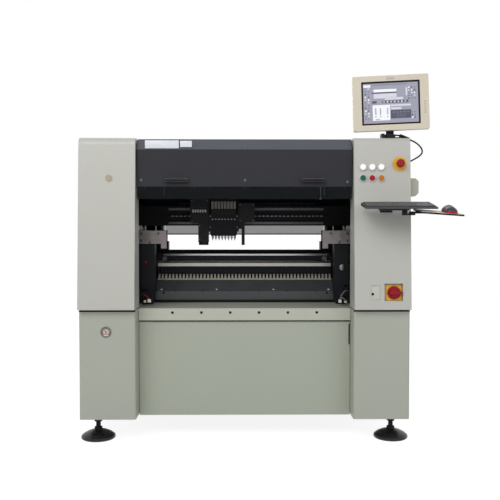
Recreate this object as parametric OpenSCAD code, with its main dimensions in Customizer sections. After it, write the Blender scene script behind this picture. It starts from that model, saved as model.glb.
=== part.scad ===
// Floor-standing electronics placement machine with an eight-nozzle head.
// Millimetres. X runs to the operator's right, Y to the rear, Z up from the floor.
// Inside the modules X = 0 is the middle of the machine and Y = 0 the front of the
// lower covers; machine() then moves everything to the middle of its floor area.

/* [Machine] */
// Overall width across the side covers
body_w = 1660; // [1630:10:1720]
// Depth over the lower covers, front to rear
body_d = 1408; // [1408:8:1456]
// Width of each side housing
side_w = 283; // [275:1:287]
// Height of the covers' underside above the floor
floor_gap = 118; // [110:1:130]
// Height of the top of the covers above the floor
cover_top = 1535; // [1535:5:1575]
// How far the upper front faces stand out at their foot
lean_foot = 35; // [25:1:45]
// How far the upper front faces stand back at the top
lean_top = 20; // [15:1:25]

/* [Feeder banks] */
// Number of feeder lanes in each bank
lane_count = 50; // [44:1:50]
// Distance between neighbouring feeder lanes
lane_pitch = 19.8; // [18:0.1:19.8]
// Width of a locating tooth between two feeders
tooth_w = 9.5; // [8:0.5:11]
// Height of the locating teeth
tooth_h = 32; // [24:1:36]

/* [Conveyor] */
// Height of the boards' underside above the floor
board_z = 923; // [921:1:925]
// Widest board that the conveyor takes
board_w = 250; // [230:1:250]

/* [Head] */
// Distance between neighbouring spindles
spindle_pitch = 18; // [17.5:0.1:18]
// Diameter of each spindle shaft
spindle_d = 12; // [10:0.5:12]
// Running clearance around each spindle, on the radius
spindle_fit = 0.05; // [0.02:0.01:0.1]
// Diameter of the nozzle tips
nozzle_tip_d = 3; // [1.5:0.1:4]

/* [Operator panel] */
// Diameter of the push-button caps
button_d = 28; // [24:1:30]
// Distance between neighbouring push-buttons
button_pitch = 46; // [44:1:48]
// Diameter of the emergency-stop mushroom
estop_d = 42; // [38:1:46]
// Diameter of the main switch knob
switch_d = 66; // [60:1:70]

/* [Monitor] */
// Width of the monitor case
monitor_w = 383; // [370:1:390]
// Height of the monitor case
monitor_h = 280; // [270:1:296]
// Width of the picture area
screen_w = 286; // [270:1:300]
// Height of the picture area
screen_h = 214; // [200:1:224]
// Angle that the monitor is turned towards the middle
monitor_pan = 6; // [0:1:20]
// Angle that the monitor leans back
monitor_lean = 2; // [0:1:12]
// Small turn of the monitor in its own plane
monitor_roll = 1.8; // [0:0.2:3]

/* [Hidden] */
$fn = 64;
// Clearance between parts that move past each other
gap = 0.3;

// Main planes of the machine
half_w = body_w / 2;
side_in = half_w - side_w;
mid_y = body_d / 2;
split_z = 671;
seam = 6;
deck_z = 660;
bed_top = 726;
bay_front = 130;
cover_wall = 60;
roof_t = 35;
lean = atan((lean_foot + lean_top) / (cover_top - split_z - seam / 2));
frame_front = 135;
tunnel_y = [548, 900];
tunnel_z = [872, 990];

// Levelling feet
foot_x = half_w - 76;
foot_y = 96;
foot_d = 175;

// Hoods and their hinges
hood_x = side_in - 6;
hood_front = 40;
hood_lip = 1290;
window_foot = 1227;
rear_lip = 1035;
hood_back = 425;
hinge_y = 429;
hinge_r = 8;
pin_d = 8;
hinge_z = cover_top + 4;
hood_top = hinge_z - hinge_r;
hinge_x = [-380, 380];

// Feeder banks
bank_w = lane_count * lane_pitch;
comb_y = [500, 530];
comb_base_z = 786;
bend_z = 730;
fin_y = [534, 578];
bar_y = [528, 544];
bar_z = [862, 880];

// Conveyor
rail_x = 503;
rail_y = 584;
rail_t = 12;
rail_foot = 892;
rail_top = board_z + 9;
moving_y = rail_y + rail_t + board_w;
rod_z = 905;
rod_x = 430;
rod_d = 12;
screw_x = 462;
screw_d = 14;
bracket_y = moving_y + rail_t + 4;

// Gantry
frame_x = [596, 704];
bracket_x = [452, 572];
rear_bracket = 500;
frame_y = [300, body_d - 300];
frame_z = [996, 1066];
y_rail_x = [640, 660];
y_rail_top = 1086;
beam_x = 705;
beam_y = [610, 750];
beam_z = [1095, 1210];
x_rail_z = [1110, 1191];
x_rail_h = 14;
x_rail_y = 596;
x_rail_x = [-441, 460];

// Head, at its resting place over the front bank
head_x = -119;
head_hw = 86;
head_y = [500, 570];
head_z = [1036, 1160];
spindle_y = 536;
tip_z = 1009;

// Operator panel
panel_x = side_in + 44;
panel_z = 1330;
panel_row = 55;
bezel_d = button_d + 14;
estop_at = [half_w - 55, 1401];
switch_at = [half_w - 85, 759];
pocket_deep = 22;
lock_at = [side_in + 105.5, 759];

// Monitor and keyboard
stand_at = [748, 120];
tilt_z = cover_top + 182;
tilt_y = 16;
case_t = 46;
arm_at = [705, -45];
arm_z = 1166;
holder_x = [654, 780];
key_at = [572, -196, 1171];
key_tilt = 8;
tray_at = [800, -150];
tray_z = 1150;
tray_tilt = 6;
tray_droop = 4;
tray_len = 200;
tray_y = [-92, 84];
tray_far = tray_at[0] + 26 + tray_len * cos(tray_droop);
tray_front = tray_at[1] + tray_y[0] * cos(tray_tilt);

// The middle of the floor area
origin_x = (tray_far - foot_x - foot_d / 2) / 2;
origin_y = (body_d + lean_foot + tray_front) / 2;

// Route of the monitor's signal cable, from the stand to the side cover
cable_d = 8;
cable_route = [
    [768, 160, 1563], [776, 160, 1563], [785, 158, 1563], [795, 155, 1562], [804, 151, 1560],
    [828, 146, 1549], [852, 141, 1538], [862, 139, 1534], [876, 136, 1527], [889, 133, 1518],
    [901, 130, 1507], [910, 127, 1495], [915, 125, 1483], [915, 123, 1471], [909, 122, 1460],
    [898, 121, 1450], [884, 121, 1441], [868, 121, 1432], [853, 121, 1424], [841, 121, 1418],
    [830, 121, 1418]
];
// The bead sits on the straight stretch between these two points of the route
bead_span = [4, 6];

// ---- helpers ----

module machine() {
    translate([-origin_x, -origin_y, 0]) children();
}

// A block between two corners
module block(x, y, z) {
    translate([x[0], y[0], z[0]]) cube([x[1] - x[0], y[1] - y[0], z[1] - z[0]]);
}

// A side outline (Y, Z) given its width along X
module across(x) {
    translate([x[0], 0, 0]) rotate([90, 0, 90]) linear_extrude(x[1] - x[0]) children();
}

// A front outline (X, Z) given its depth along Y
module along(y) {
    translate([0, y[1], 0]) rotate([90, 0, 0]) linear_extrude(y[1] - y[0]) children();
}

// A round rod along Y
module rod_y(x, z, d, y) {
    translate([x, y[0], z]) rotate([-90, 0, 0]) cylinder(d = d, h = y[1] - y[0]);
}

// A round rod along X
module rod_x(y, z, d, x) {
    translate([x[0], y, z]) rotate([0, 90, 0]) cylinder(d = d, h = x[1] - x[0]);
}

// A rectangle with round corners
module round_rect(w, h, r) {
    square([w - 2 * r, h], center = true);
    square([w, h - 2 * r], center = true);
    for (sx = [-1, 1], sy = [-1, 1])
        translate([sx * (w / 2 - r), sy * (h / 2 - r)]) circle(r);
}

// The same piece on both sides
module both_sides() {
    children();
    mirror([1, 0, 0]) children();
}

// The same piece at the front and at the rear
module front_and_rear() {
    children();
    translate([0, body_d, 0]) mirror([0, 1, 0]) children();
}

// Depth of the leaning front face at a height
function face_y(z) = -lean_foot + (z - split_z - seam / 2) * tan(lean);

// Puts a piece on the leaning face: its +Y points into the cover
module on_face(x, z) {
    translate([x, face_y(z), z]) rotate([-lean, 0, 0]) children();
}

// A round boss or bore on the leaning face, from outside (-) to inside (+)
module face_round(d, from, to) {
    translate([0, from, 0]) rotate([-90, 0, 0]) cylinder(d = d, h = to - from);
}

// ---- lower machine ----

module base_frame() color("dimgray") machine() {
    tube = 90;
    top = [deck_z - 80, deck_z];
    foot = [floor_gap, floor_gap + 80];
    ends = [frame_front, frame_front + tube];
    both_sides() {
        front_and_rear()
            block([side_in - tube, side_in], ends, [floor_gap, deck_z]);
        for (z = [foot, top])
            block([side_in - tube, side_in], [ends[1], body_d - ends[1]], z);
    }
    for (z = [foot, top]) {
        front_and_rear() block([tube - side_in, side_in - tube], ends, z);
        block([-tube / 2, tube / 2], [ends[1], body_d - ends[1]], z);
    }
}

// One levelling foot: rubber dome, threaded stem, lock nut and flange
module levelling_foot() {
    rotate_extrude() polygon([
        [0, 0], [foot_d / 2 - 5, 0], [foot_d / 2, 6], [foot_d / 2 - 2, 16], [foot_d / 2 - 16, 27],
        [foot_d / 2 - 38, 38], [24, 46], [20, 50], [20, 58], [12, 62], [12, floor_gap - 34],
        [20, floor_gap - 30], [20, floor_gap - 16], [14, floor_gap - 14], [14, floor_gap - 8],
        [24, floor_gap - 8], [24, floor_gap], [0, floor_gap]
    ]);
}

module levelling_feet() color("black") machine() {
    for (x = [-foot_x, foot_x], y = [foot_y, body_d - foot_y])
        translate([x, y, 0]) levelling_foot();
}

// A lower side housing, drawn on the right
module lower_cover() {
    edge_r = 10;
    louvre_w = 260;
    difference() {
        union() {
            translate([(side_in + half_w) / 2, mid_y, floor_gap])
                linear_extrude(split_z - seam / 2 - floor_gap) round_rect(side_w, body_d, edge_r);
            block([side_in + 8, half_w - 8], [8, body_d - 8], [split_z - seam / 2, split_z + seam / 2]);
        }
        // service door outline on the outer side
        for (y = [180, mid_y - 3, body_d - 186])
            block([half_w - 4, half_w + 1], [y, y + 6], [floor_gap + 40, split_z - 40]);
        for (z = [floor_gap + 40, split_z - 46])
            block([half_w - 4, half_w + 1], [186, body_d - 186], [z, z + 6]);
        // cooling louvres in the doors
        for (side = [-1, 1], i = [0:8])
            translate([half_w, mid_y + side * 260, floor_gap + 330 + i * 18])
                rotate([0, 30, 0]) cube([24, louvre_w, 6], center = true);
    }
}

module left_lower_cover() color([0.65, 0.66, 0.61]) machine() difference() {
    mirror([1, 0, 0]) lower_cover();
    rod_y(-694, 561, 58, [-1, 12]);
}

module right_lower_cover() color([0.65, 0.66, 0.61]) machine() {
    lower_cover();
}

// The panel closes the frame, with a latch slot at its right edge
module lower_panels() color([0.66, 0.67, 0.62]) machine() front_and_rear() difference() {
    union() {
        block([-side_in + 2, side_in - 2], [115, 119], [112, 597]);
        for (x = [-side_in + 2, side_in - 6])
            block([x, x + 4], [119, frame_front], [112, 597]);
        for (z = [112, 593])
            block([-side_in + 6, side_in - 6], [119, frame_front], [z, z + 4]);
        // stiffeners that bear on the frame
        for (x = [-240, 240])
            block([x - 20, x + 20], [119, frame_front], [116, 593]);
    }
    block([side_in - 10, side_in], [100, 140], [479, 586]);
}

// The shelf in front of the feeders, with its folded apron and six locating holes
module feeder_shelves() color([0.69, 0.69, 0.64]) machine() front_and_rear() difference() {
    hole_pitch = 148.6;
    union() {
        block([-side_in + 2, side_in - 2], [100, 108], [606, 668]);
        block([-side_in + 2, side_in - 2], [108, 402], [deck_z, 668]);
        block([-side_in + 2, side_in - 2], [108, frame_front], [606, 614]);
        for (x = [-420, -140, 140, 420])
            block([x - 4, x + 4], [108, frame_front], [614, deck_z]);
    }
    for (i = [-2.5:1:2.5])
        rod_y(i * hole_pitch, 646, 14, [99, 109]);
}

// ---- upper covers ----

// The round top edge of an upper housing, from the leaning face to the roof
function top_round(r, n) =
    let (z = cover_top - r, y = face_y(z) + r / cos(lean))
    [for (i = [0:n])
        let (a = 180 - lean - i * (90 - lean) / n)
        [y + r * cos(a), z + r * sin(a)]];

// Side outline of an upper housing
module upper_outline() {
    edge = top_round(40, 12);
    last = len(edge) - 1;
    polygon(concat(
        [[-lean_foot, split_z + seam / 2]],
        edge,
        [for (i = [last:-1:0]) [body_d - edge[i][0], edge[i][1]]],
        [[body_d + lean_foot, split_z + seam / 2]]
    ));
}

// An upper side housing, drawn on the right: front and rear posts, side wall and roof
module upper_cover() {
    difference() {
        across([side_in, half_w]) upper_outline();
        block([side_in - 1, half_w - cover_wall], [bay_front, body_d - bay_front],
              [split_z, cover_top - roof_t]);
        // board tunnel through the side wall
        block([half_w - cover_wall - 1, half_w + 1], tunnel_y, tunnel_z);
        // seam of the upper service door
        for (y = [260, body_d - 266])
            block([half_w - 3, half_w + 1], [y, y + 6], [1060, 1440]);
        for (z = [1060, 1434])
            block([half_w - 3, half_w + 1], [266, body_d - 266], [z, z + 6]);
    }
}

module left_upper_cover() color([0.72, 0.72, 0.69]) machine() difference() {
    mirror([1, 0, 0]) upper_cover();
    on_face(-677, 1329) face_round(30, -1, 12);
}

module right_upper_cover() color([0.72, 0.72, 0.69]) machine() difference() {
    upper_cover();
    // wells behind the push-buttons and the emergency stop
    for (i = [0:2], row = [0, 1])
        on_face(panel_x + i * button_pitch, panel_z + row * panel_row)
            face_round(button_d + 1, -1, 14);
    on_face(estop_at[0], estop_at[1]) face_round(23, -1, 20);
    // main switch pocket and the lock pocket beside it
    on_face(switch_at[0] - 4, switch_at[1] + 2.5)
        translate([-46, -1, -43.5]) cube([92, pocket_deep + 1, 87]);
    on_face(lock_at[0], lock_at[1]) {
        translate([-22.5, -1, -36]) cube([45, 5, 72]);
        translate([-15.5, 0, -7]) face_round(13, 3, 30);
    }
}

// Hinge knuckles on the fixed side, with the pins that carry the hoods
module fixed_knuckles() {
    for (x = hinge_x) {
        for (side = [-1, 1])
            translate([x + side * 25.5, 0, 0]) {
                rod_x(hinge_y, hinge_z, 2 * hinge_r, [-10, 10]);
                block([-10, 10], [hinge_y, hinge_y + 36], [cover_top, cover_top + 5]);
            }
        rod_x(hinge_y, hinge_z, pin_d, [x - 30, x + 30]);
    }
}

module top_cover() color([0.74, 0.74, 0.70]) machine() {
    block([-side_in, side_in], [440, body_d - 440], [cover_top - roof_t, cover_top]);
    front_and_rear() fixed_knuckles();
}

// ---- hoods ----

// The moving knuckles, bored for the pins
module hood_knuckles() {
    for (x = hinge_x)
        difference() {
            union() {
                rod_x(hinge_y, hinge_z, 2 * hinge_r, [x - 15, x + 15]);
                block([x - 15, x + 15], [hinge_y - 30, hinge_y], [hood_top, hood_top + 5]);
            }
            rod_x(hinge_y, hinge_z, pin_d + 0.1, [x - 16, x + 16]);
        }
}

// Side outline of a hood sheet: front panel, sloped band and top
module hood_sheet(lip) {
    t = 10;
    polygon([
        [hood_front, lip], [hood_front, hood_top - 55], [75, hood_top], [hood_back, hood_top],
        [hood_back, hood_top - t], [75 + 0.55 * t, hood_top - t],
        [hood_front + t, hood_top - 55 - 0.3 * t], [hood_front + t, lip]
    ]);
}

// Side outline of the stiffening cheek inside a hood
module hood_cheek(lip) {
    polygon([
        [hood_front + 10, lip], [hood_front + 10, hood_top - 58],
        [80.5, hood_top - 10], [hood_back, hood_top - 10],
        [hood_back, hood_top - 40], [190, hood_top - 60], [95, hood_top - 150], [68, lip]
    ]);
}

// A folded finger pull
module pull(x) {
    across(x) polygon([
        [hood_front, 1332], [20, 1328], [17, 1312], [22, 1310], [25, 1322], [hood_front, 1325]
    ]);
}

module hood_body(lip) {
    across([-hood_x, hood_x]) hood_sheet(lip);
    both_sides() {
        across([hood_x - 8, hood_x]) hood_cheek(lip);
        pull([283, 403]);
    }
    hood_knuckles();
}

module hood_shell() color([0.22, 0.22, 0.24]) machine() {
    hood_body(hood_lip);
}

module hood_window() color([0.12, 0.16, 0.17, 0.85]) machine() {
    block([-hood_x, hood_x], [hood_front + 2, hood_front + 8], [window_foot, hood_lip]);
}

// The rear hood carries a deep smoked window with an edge strip along its foot
module rear_hood() color([0.22, 0.22, 0.24]) machine() translate([0, body_d, 0]) mirror([0, 1, 0]) {
    hood_body(hood_lip);
    block([-hood_x, hood_x], [hood_front + 2, hood_front + 8], [rear_lip, hood_lip]);
    block([-hood_x, hood_x], [hood_front, hood_front + 10], [rear_lip, rear_lip + 8]);
}

// ---- bed and gantry ----

module machine_bed() color([0.30, 0.31, 0.32]) machine() difference() {
    union() {
        block([-496, 496], [402, body_d - 402], [deck_z, bed_top]);
        both_sides()
            block([496, half_w - 70], [290, body_d - 290], [split_z + seam / 2, bed_top]);
    }
    // bores that guide the push-up table's posts
    for (x = [-120, 120])
        translate([x, 720, deck_z - 1]) cylinder(d = 25.1, h = bed_top - deck_z + 2);
}

// Black posts that carry the gantry frames, each with a foot flange and a gusset
module gantry_posts() color([0.10, 0.10, 0.11]) machine() both_sides() front_and_rear() {
    for (x = [[488, 565], [616, 690]])
        block(x, [310, 392], [bed_top + 16, frame_z[0]]);
    block([488, 740], [296, 392], [bed_top, bed_top + 16]);
    along([330, 346]) polygon([[565, bed_top + 16], [616, bed_top + 16], [565, bed_top + 130]]);
}

// Cast frames with ribs, end brackets and the guide rails of the Y axis
module y_frames() color([0.62, 0.60, 0.60]) machine() both_sides() {
    web = [640, 660];
    flange = [14, 16];
    along(frame_y) polygon([
        [frame_x[0], frame_z[0]], [frame_x[1], frame_z[0]],
        [frame_x[1], frame_z[0] + flange[0]], [web[1], frame_z[0] + flange[0]],
        [web[1], frame_z[1] - flange[1]], [frame_x[1], frame_z[1] - flange[1]],
        [frame_x[1], frame_z[1]], [frame_x[0], frame_z[1]],
        [frame_x[0], frame_z[1] - flange[1]], [web[0], frame_z[1] - flange[1]],
        [web[0], frame_z[0] + flange[0]], [frame_x[0], frame_z[0] + flange[0]]
    ]);
    for (i = [0:5])
        translate([0, frame_y[0] + 130 + i * (frame_y[1] - frame_y[0] - 260) / 5, 0])
            block(frame_x, [-6, 6], frame_z);
    end_bracket(bracket_x[0], [484, 540]);
    block([424, bracket_x[0]], [frame_y[0], frame_y[0] + 20], [970, frame_z[1]]);
    translate([0, body_d, 0]) mirror([0, 1, 0]) end_bracket(rear_bracket, [540]);
    // ground guide rail with undercut flanks
    along([frame_y[0] + 30, frame_y[1] - 30]) polygon([
        [y_rail_x[0], frame_z[1]], [y_rail_x[1], frame_z[1]], [y_rail_x[1], frame_z[1] + 8],
        [y_rail_x[1] - 2, frame_z[1] + 11], [y_rail_x[1], y_rail_top], [y_rail_x[0], y_rail_top],
        [y_rail_x[0] + 2, frame_z[1] + 11], [y_rail_x[0], frame_z[1] + 8]
    ]);
}

// The cast bracket at an end of a gantry frame, with its stop pins and bearing cap
module end_bracket(inner, pockets) {
    front = frame_y[0];
    difference() {
        union() {
            block([inner, bracket_x[1]], [front, front + 24], frame_z);
            block([bracket_x[1], frame_x[1]], [front + 12, front + 24], frame_z);
        }
        for (x = pockets)
            translate([x, front, frame_z[0] + 35]) rotate([90, 0, 0])
                linear_extrude(16, center = true) round_rect(34, 40, 6);
    }
    rod_y(512, frame_z[0] + 28, 20, [front - 8, front]);
    for (x = pockets)
        translate([x - 3, front + 12, frame_z[1]]) cylinder(d = 9, h = 26);
}

module x_beam() color([0.11, 0.11, 0.12]) machine() difference() {
    block([-beam_x, beam_x], beam_y, beam_z);
    // lightening pockets in the rear wall and a relief along the front
    for (i = [-3:3])
        translate([i * 150, beam_y[1], 1152]) rotate([90, 0, 0])
            linear_extrude(60, center = true) round_rect(110, 80, 12);
    block([-500, 500], [beam_y[0] - 1, beam_y[0] + 6], [1122, 1140]);
    block([-500, 500], [beam_y[0] - 1, beam_y[0] + 6], [1164, 1178]);
}

// Guide rails and linear scale on the front of the beam
module x_rails() color([0.72, 0.72, 0.72]) machine() {
    for (z = x_rail_z)
        across(x_rail_x) polygon([
            [beam_y[0], z - x_rail_h / 2], [beam_y[0], z + x_rail_h / 2],
            [604, z + x_rail_h / 2], [602, z + x_rail_h / 2 - 2], [x_rail_y, z + x_rail_h / 2],
            [x_rail_y, z - x_rail_h / 2], [602, z - x_rail_h / 2 + 2], [604, z - x_rail_h / 2]
        ]);
    block([-492, 492], [beam_y[0] - 3, beam_y[0]], [1148, 1158]);
}

// Runner blocks that carry the beam on the Y rails
module y_sliders() color([0.42, 0.42, 0.44]) machine() both_sides() for (y = [602, 688])
    difference() {
        block([616, 684], [y, y + 70], [frame_z[1] + 5, beam_z[0]]);
        block([y_rail_x[0] - gap, y_rail_x[1] + gap], [y - 1, y + 71],
              [frame_z[1], y_rail_top + gap]);
    }

// ---- head ----

function spindle_x(i) = head_x + (i - 3.5) * spindle_pitch;

// Back plate with runners, side plates and the bored spindle block
module head_carriage() color([0.13, 0.13, 0.14]) machine() difference() {
    union() {
        block([head_x - head_hw, head_x + head_hw], [570, 588], [1085, 1262]);
        block([head_x - head_hw, head_x + head_hw], [496, 570], [1250, 1262]);
        for (x = [head_x - head_hw, head_x + head_hw - 6])
            block([x, x + 6], [head_y[0], 570], [1060, 1250]);
        // spindle block with a narrowed foot
        along(head_y) polygon([
            [head_x - 80, 1070], [head_x - 72, head_z[0]], [head_x + 72, head_z[0]],
            [head_x + 80, 1070], [head_x + 80, head_z[1]], [head_x - 80, head_z[1]]
        ]);
        for (z = x_rail_z)
            block([head_x - 76, head_x + 76], [588, 606], [z - 15, z + 15]);
    }
    for (z = x_rail_z)
        block([head_x - 77, head_x + 77], [x_rail_y - gap, 607],
              [z - x_rail_h / 2 - gap, z + x_rail_h / 2 + gap]);
    for (i = [0:7])
        translate([spindle_x(i), spindle_y, head_z[0] - 1])
            cylinder(d = spindle_d + 2 * spindle_fit, h = head_z[1] - head_z[0] + 2);
}

// A row of eight spindle motors with their end caps
module head_motors() color([0.75, 0.75, 0.73]) machine() for (i = [0:7])
    translate([spindle_x(i), 511, 0]) {
        block([-8, 8], [-13, 13], [head_z[1], 1190]);
        block([-6.5, 6.5], [-12, 12], [1190, 1231]);
        block([-8, 8], [-13, 13], [1231, 1237]);
        translate([0, 0, 1237]) cylinder(d = 12, h = 13);
    }

// Fiducial camera under its valve box on the left, bumper plate under a cable box on the right
module head_side_units() color([0.07, 0.07, 0.08]) machine() {
    left = head_x - head_hw;
    difference() {
        union() {
            block([left - 58, left], [500, 570], [1000, 1109]);
            block([left - 103, left], [508, 566], [1109, 1246]);
            translate([left - 29, 535, 984]) cylinder(d = 56, h = 16);
        }
        translate([left - 29, 535, 983]) cylinder(d = 30, h = 40);
    }
    right = head_x + head_hw;
    block([right, right + 16], [515, 555], [1076, 1115]);
    block([right + 16, right + 34], [505, 565], [984, 1115]);
    block([right, right + 91], [508, 566], [1115, 1223]);
}

// Spindle shaft, nozzle holder and tapered nozzle, turned as one profile
module spindle(i) color([0.80, 0.80, 0.78]) machine() translate([spindle_x(i), spindle_y, 0])
    rotate_extrude() polygon([
        [0, tip_z], [nozzle_tip_d / 2, tip_z], [nozzle_tip_d / 2 + 0.5, tip_z + 5],
        [4, tip_z + 9], [4, tip_z + 13], [spindle_d / 2 + 1, tip_z + 14],
        [spindle_d / 2 + 1, tip_z + 20], [spindle_d / 2, tip_z + 22], [spindle_d / 2, 1238],
        [spindle_d / 2 - 1, 1240], [0, 1240]
    ]);

// ---- feeder banks ----

function lane_x(i) = -bank_w / 2 + i * lane_pitch;

// Dark base with a thin fin at each lane boundary
module feeder_bases() color([0.15, 0.15, 0.16]) machine() front_and_rear() {
    fin_t = 4;
    block([-bank_w / 2, bank_w / 2], [484, fin_y[1]], [bed_top, comb_base_z]);
    // wall that closes the bank behind the pick-up positions
    block([-bank_w / 2, bank_w / 2], [bar_y[1], bar_y[1] + 4], [comb_base_z, bar_z[0]]);
    for (i = [0:lane_count])
        translate([min(max(lane_x(i) - fin_t / 2, -bank_w / 2), bank_w / 2 - fin_t), 0, 0])
            cube_fin(fin_t);
}

module cube_fin(t) {
    across([0, t]) polygon([
        [fin_y[0], comb_base_z], [fin_y[1], comb_base_z], [fin_y[1], bar_z[0] - 26],
        [bar_y[1] + 4, bar_z[0]], [fin_y[0], bar_z[0]]
    ]);
}

// Toothed locating plate: one slot for each feeder
module feeder_combs() color([0.62, 0.60, 0.56]) machine() front_and_rear() {
    block([-bank_w / 2, bank_w / 2], comb_y, [comb_base_z, comb_base_z + 8]);
    for (i = [0:lane_count - 1])
        translate([lane_x(i) + (lane_pitch - tooth_w) / 2, 0, 0])
            across([0, tooth_w]) polygon([
                [comb_y[0], comb_base_z + 8], [comb_y[1], comb_base_z + 8],
                [comb_y[1], comb_base_z + tooth_h], [comb_y[0] + 8, comb_base_z + tooth_h],
                [comb_y[0], comb_base_z + tooth_h - 10]
            ]);
}

module pickup_bars() color([0.85, 0.85, 0.83]) machine() front_and_rear()
    block([-bank_w / 2, bank_w / 2], bar_y, bar_z);

// Bent cover plate in front of each bank
module feeder_covers() color([0.25, 0.26, 0.27]) machine() front_and_rear() {
    across([-bank_w / 2, bank_w / 2]) polygon([
        [394, 684], [394, bend_z], [480, comb_base_z], [484, comb_base_z],
        [484, comb_base_z - 7], [402, bend_z - 1], [402, 684]
    ]);
    both_sides() across([bank_w / 2 - 4, bank_w / 2]) polygon([
        [402, bed_top], [484, bed_top], [484, comb_base_z - 5], [402, bend_z + 1]
    ]);
}

// ---- conveyor ----

// Rail outline (Y, Z): web, belt ledge and upper lip
module rail_outline() {
    polygon([
        [0, rail_foot], [8, rail_foot], [8, board_z - 8], [rail_t, board_z - 8],
        [rail_t, board_z - 2], [8, board_z - 2], [8, rail_top - 3], [rail_t - 1, rail_top - 3],
        [rail_t - 1, rail_top], [0, rail_top]
    ]);
}

module conveyor_fixed_rail() color([0.80, 0.80, 0.78]) machine() difference() {
    across([-rail_x, rail_x]) translate([rail_y, 0]) rail_outline();
    rod_y(screw_x, rod_z, screw_d + 0.1, [rail_y - 1, rail_y + rail_t + 1]);
    rod_y(-screw_x, rod_z, screw_d + 0.1, [rail_y - 1, rail_y + rail_t + 1]);
}

module conveyor_moving_rail() color([0.72, 0.72, 0.70]) machine() difference() {
    union() {
        across([gap - rail_x, rail_x - gap]) translate([moving_y + rail_t, 0]) mirror([1, 0])
            rail_outline();
        // board clamp plate
        block([gap - rail_x, rail_x - gap], [moving_y + 4, moving_y + rail_t], [rail_top, rail_top + 16]);
        // bushes on the guide rods
        for (x = [-rod_x, rod_x])
            block([x - 16, x + 16], [moving_y - 14, moving_y + 4], [rail_foot, board_z - 9]);
    }
    for (x = [-rod_x, rod_x])
        rod_y(x, rod_z, rod_d + 0.1, [moving_y - 16, moving_y + rail_t + 1]);
    for (x = [-screw_x, screw_x])
        rod_y(x, rod_z, screw_d + 2 * gap, [moving_y - 16, moving_y + rail_t + 1]);
}

// End plates, rear brackets, guide rods and the entry and exit rails
module conveyor_frame() color([0.20, 0.20, 0.21]) machine() {
    end_y = [rail_y, bracket_y + 12];
    difference() {
        union() {
            both_sides() {
                block([rail_x, rail_x + 12], end_y, [bed_top, rail_top - 24]);
                block([400, rail_x], [bracket_y, bracket_y + 12], [rail_foot, rail_top - 12]);
                // entry and exit rails reach through the tunnel to the side cover
                for (y = [rail_y, bracket_y])
                    block([rail_x + 12, half_w - 3], [y, y + 12], [rail_foot, rail_top - 12]);
                block([half_w - 88, half_w - 72], end_y, [bed_top, rail_foot]);
            }
            for (x = [-rod_x, rod_x])
                rod_y(x, rod_z, rod_d, [rail_y + 8, bracket_y]);
        }
        for (x = [-screw_x, screw_x])
            rod_y(x, rod_z, screw_d + 0.1, [bracket_y - 1, bracket_y + 13]);
    }
}

// A shaft in the rail bores, with a toothed-belt pulley at the front
module conveyor_shaft(x, pulley_d) {
    rod_y(x, rod_z, screw_d, [rail_y - 18, bracket_y + 11]);
    rod_y(x, rod_z, pulley_d, [rail_y - 14, rail_y - 4]);
    rod_y(x, rod_z, pulley_d + 5, [rail_y - 15.5, rail_y - 14]);
    rod_y(x, rod_z, pulley_d + 5, [rail_y - 4, rail_y - 2.5]);
}

module width_screw() color([0.70, 0.70, 0.72]) machine() {
    conveyor_shaft(screw_x, 24);
}

module drive_shaft() color([0.66, 0.67, 0.70]) machine() {
    conveyor_shaft(-screw_x, 20);
}

// Board support: plate with locating pins on two guide posts
module push_up_table() color([0.55, 0.56, 0.58]) machine() {
    block([-200, 200], [650, 790], [846, 860]);
    for (x = [-180:60:180], y = [670, 720, 770])
        translate([x, y, 860]) cylinder(d = 8, h = 20);
    for (x = [-120, 120])
        translate([x, 720, 640]) cylinder(d = 25, h = 206);
}

// ---- operator panel ----

module button_bezels() color([0.80, 0.80, 0.76]) machine() for (i = [0:2], row = [0, 1])
    on_face(panel_x + i * button_pitch, panel_z + row * panel_row) difference() {
        rotate([90, 0, 0]) rotate_extrude() polygon([
            [button_d / 2 + 0.5, 0], [bezel_d / 2, 0], [bezel_d / 2 - 1, 5], [bezel_d / 2 - 3, 7],
            [button_d / 2 + 0.5, 7]
        ]);
    }

// A push-button cap with a round shoulder
module button_cap(i, row) {
    on_face(panel_x + i * button_pitch, panel_z + row * panel_row)
        rotate([90, 0, 0]) rotate_extrude() polygon([
            [0, -8], [button_d / 2, -8], [button_d / 2, 9], [button_d / 2 - 1, 10.5],
            [button_d / 2 - 3, 11], [0, 11]
        ]);
}

module white_button_1() color("white") machine() button_cap(0, 1);
module white_button_2() color("white") machine() button_cap(1, 1);
module white_button_3() color("white") machine() button_cap(2, 1);
module green_button() color("seagreen") machine() button_cap(0, 0);
module red_button() color("crimson") machine() button_cap(1, 0);
module orange_button() color("darkorange") machine() button_cap(2, 0);

// Yellow discs and plates behind the red actuators
module safety_plates() color([0.85, 0.68, 0.25]) machine() {
    on_face(estop_at[0], estop_at[1]) difference() {
        union() {
            face_round(70, -4, 0);
            face_round(34, -14, -4);
        }
        face_round(23, -15, 1);
    }
    on_face(switch_at[0], switch_at[1]) difference() {
        translate([-39, pocket_deep - 6, -39]) cube([78, 6, 78]);
        face_round(30.1, pocket_deep - 7, pocket_deep - 2);
    }
}

module estop_button() color([0.62, 0.20, 0.22]) machine() on_face(estop_at[0], estop_at[1])
    rotate([90, 0, 0]) rotate_extrude() polygon([
        [0, -12], [11, -12], [11, 19], [estop_d / 2 - 3, 19], [estop_d / 2, 22],
        [estop_d / 2, 30], [estop_d / 2 - 2, 34], [estop_d / 2 - 7, 36], [0, 36]
    ]);

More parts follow.
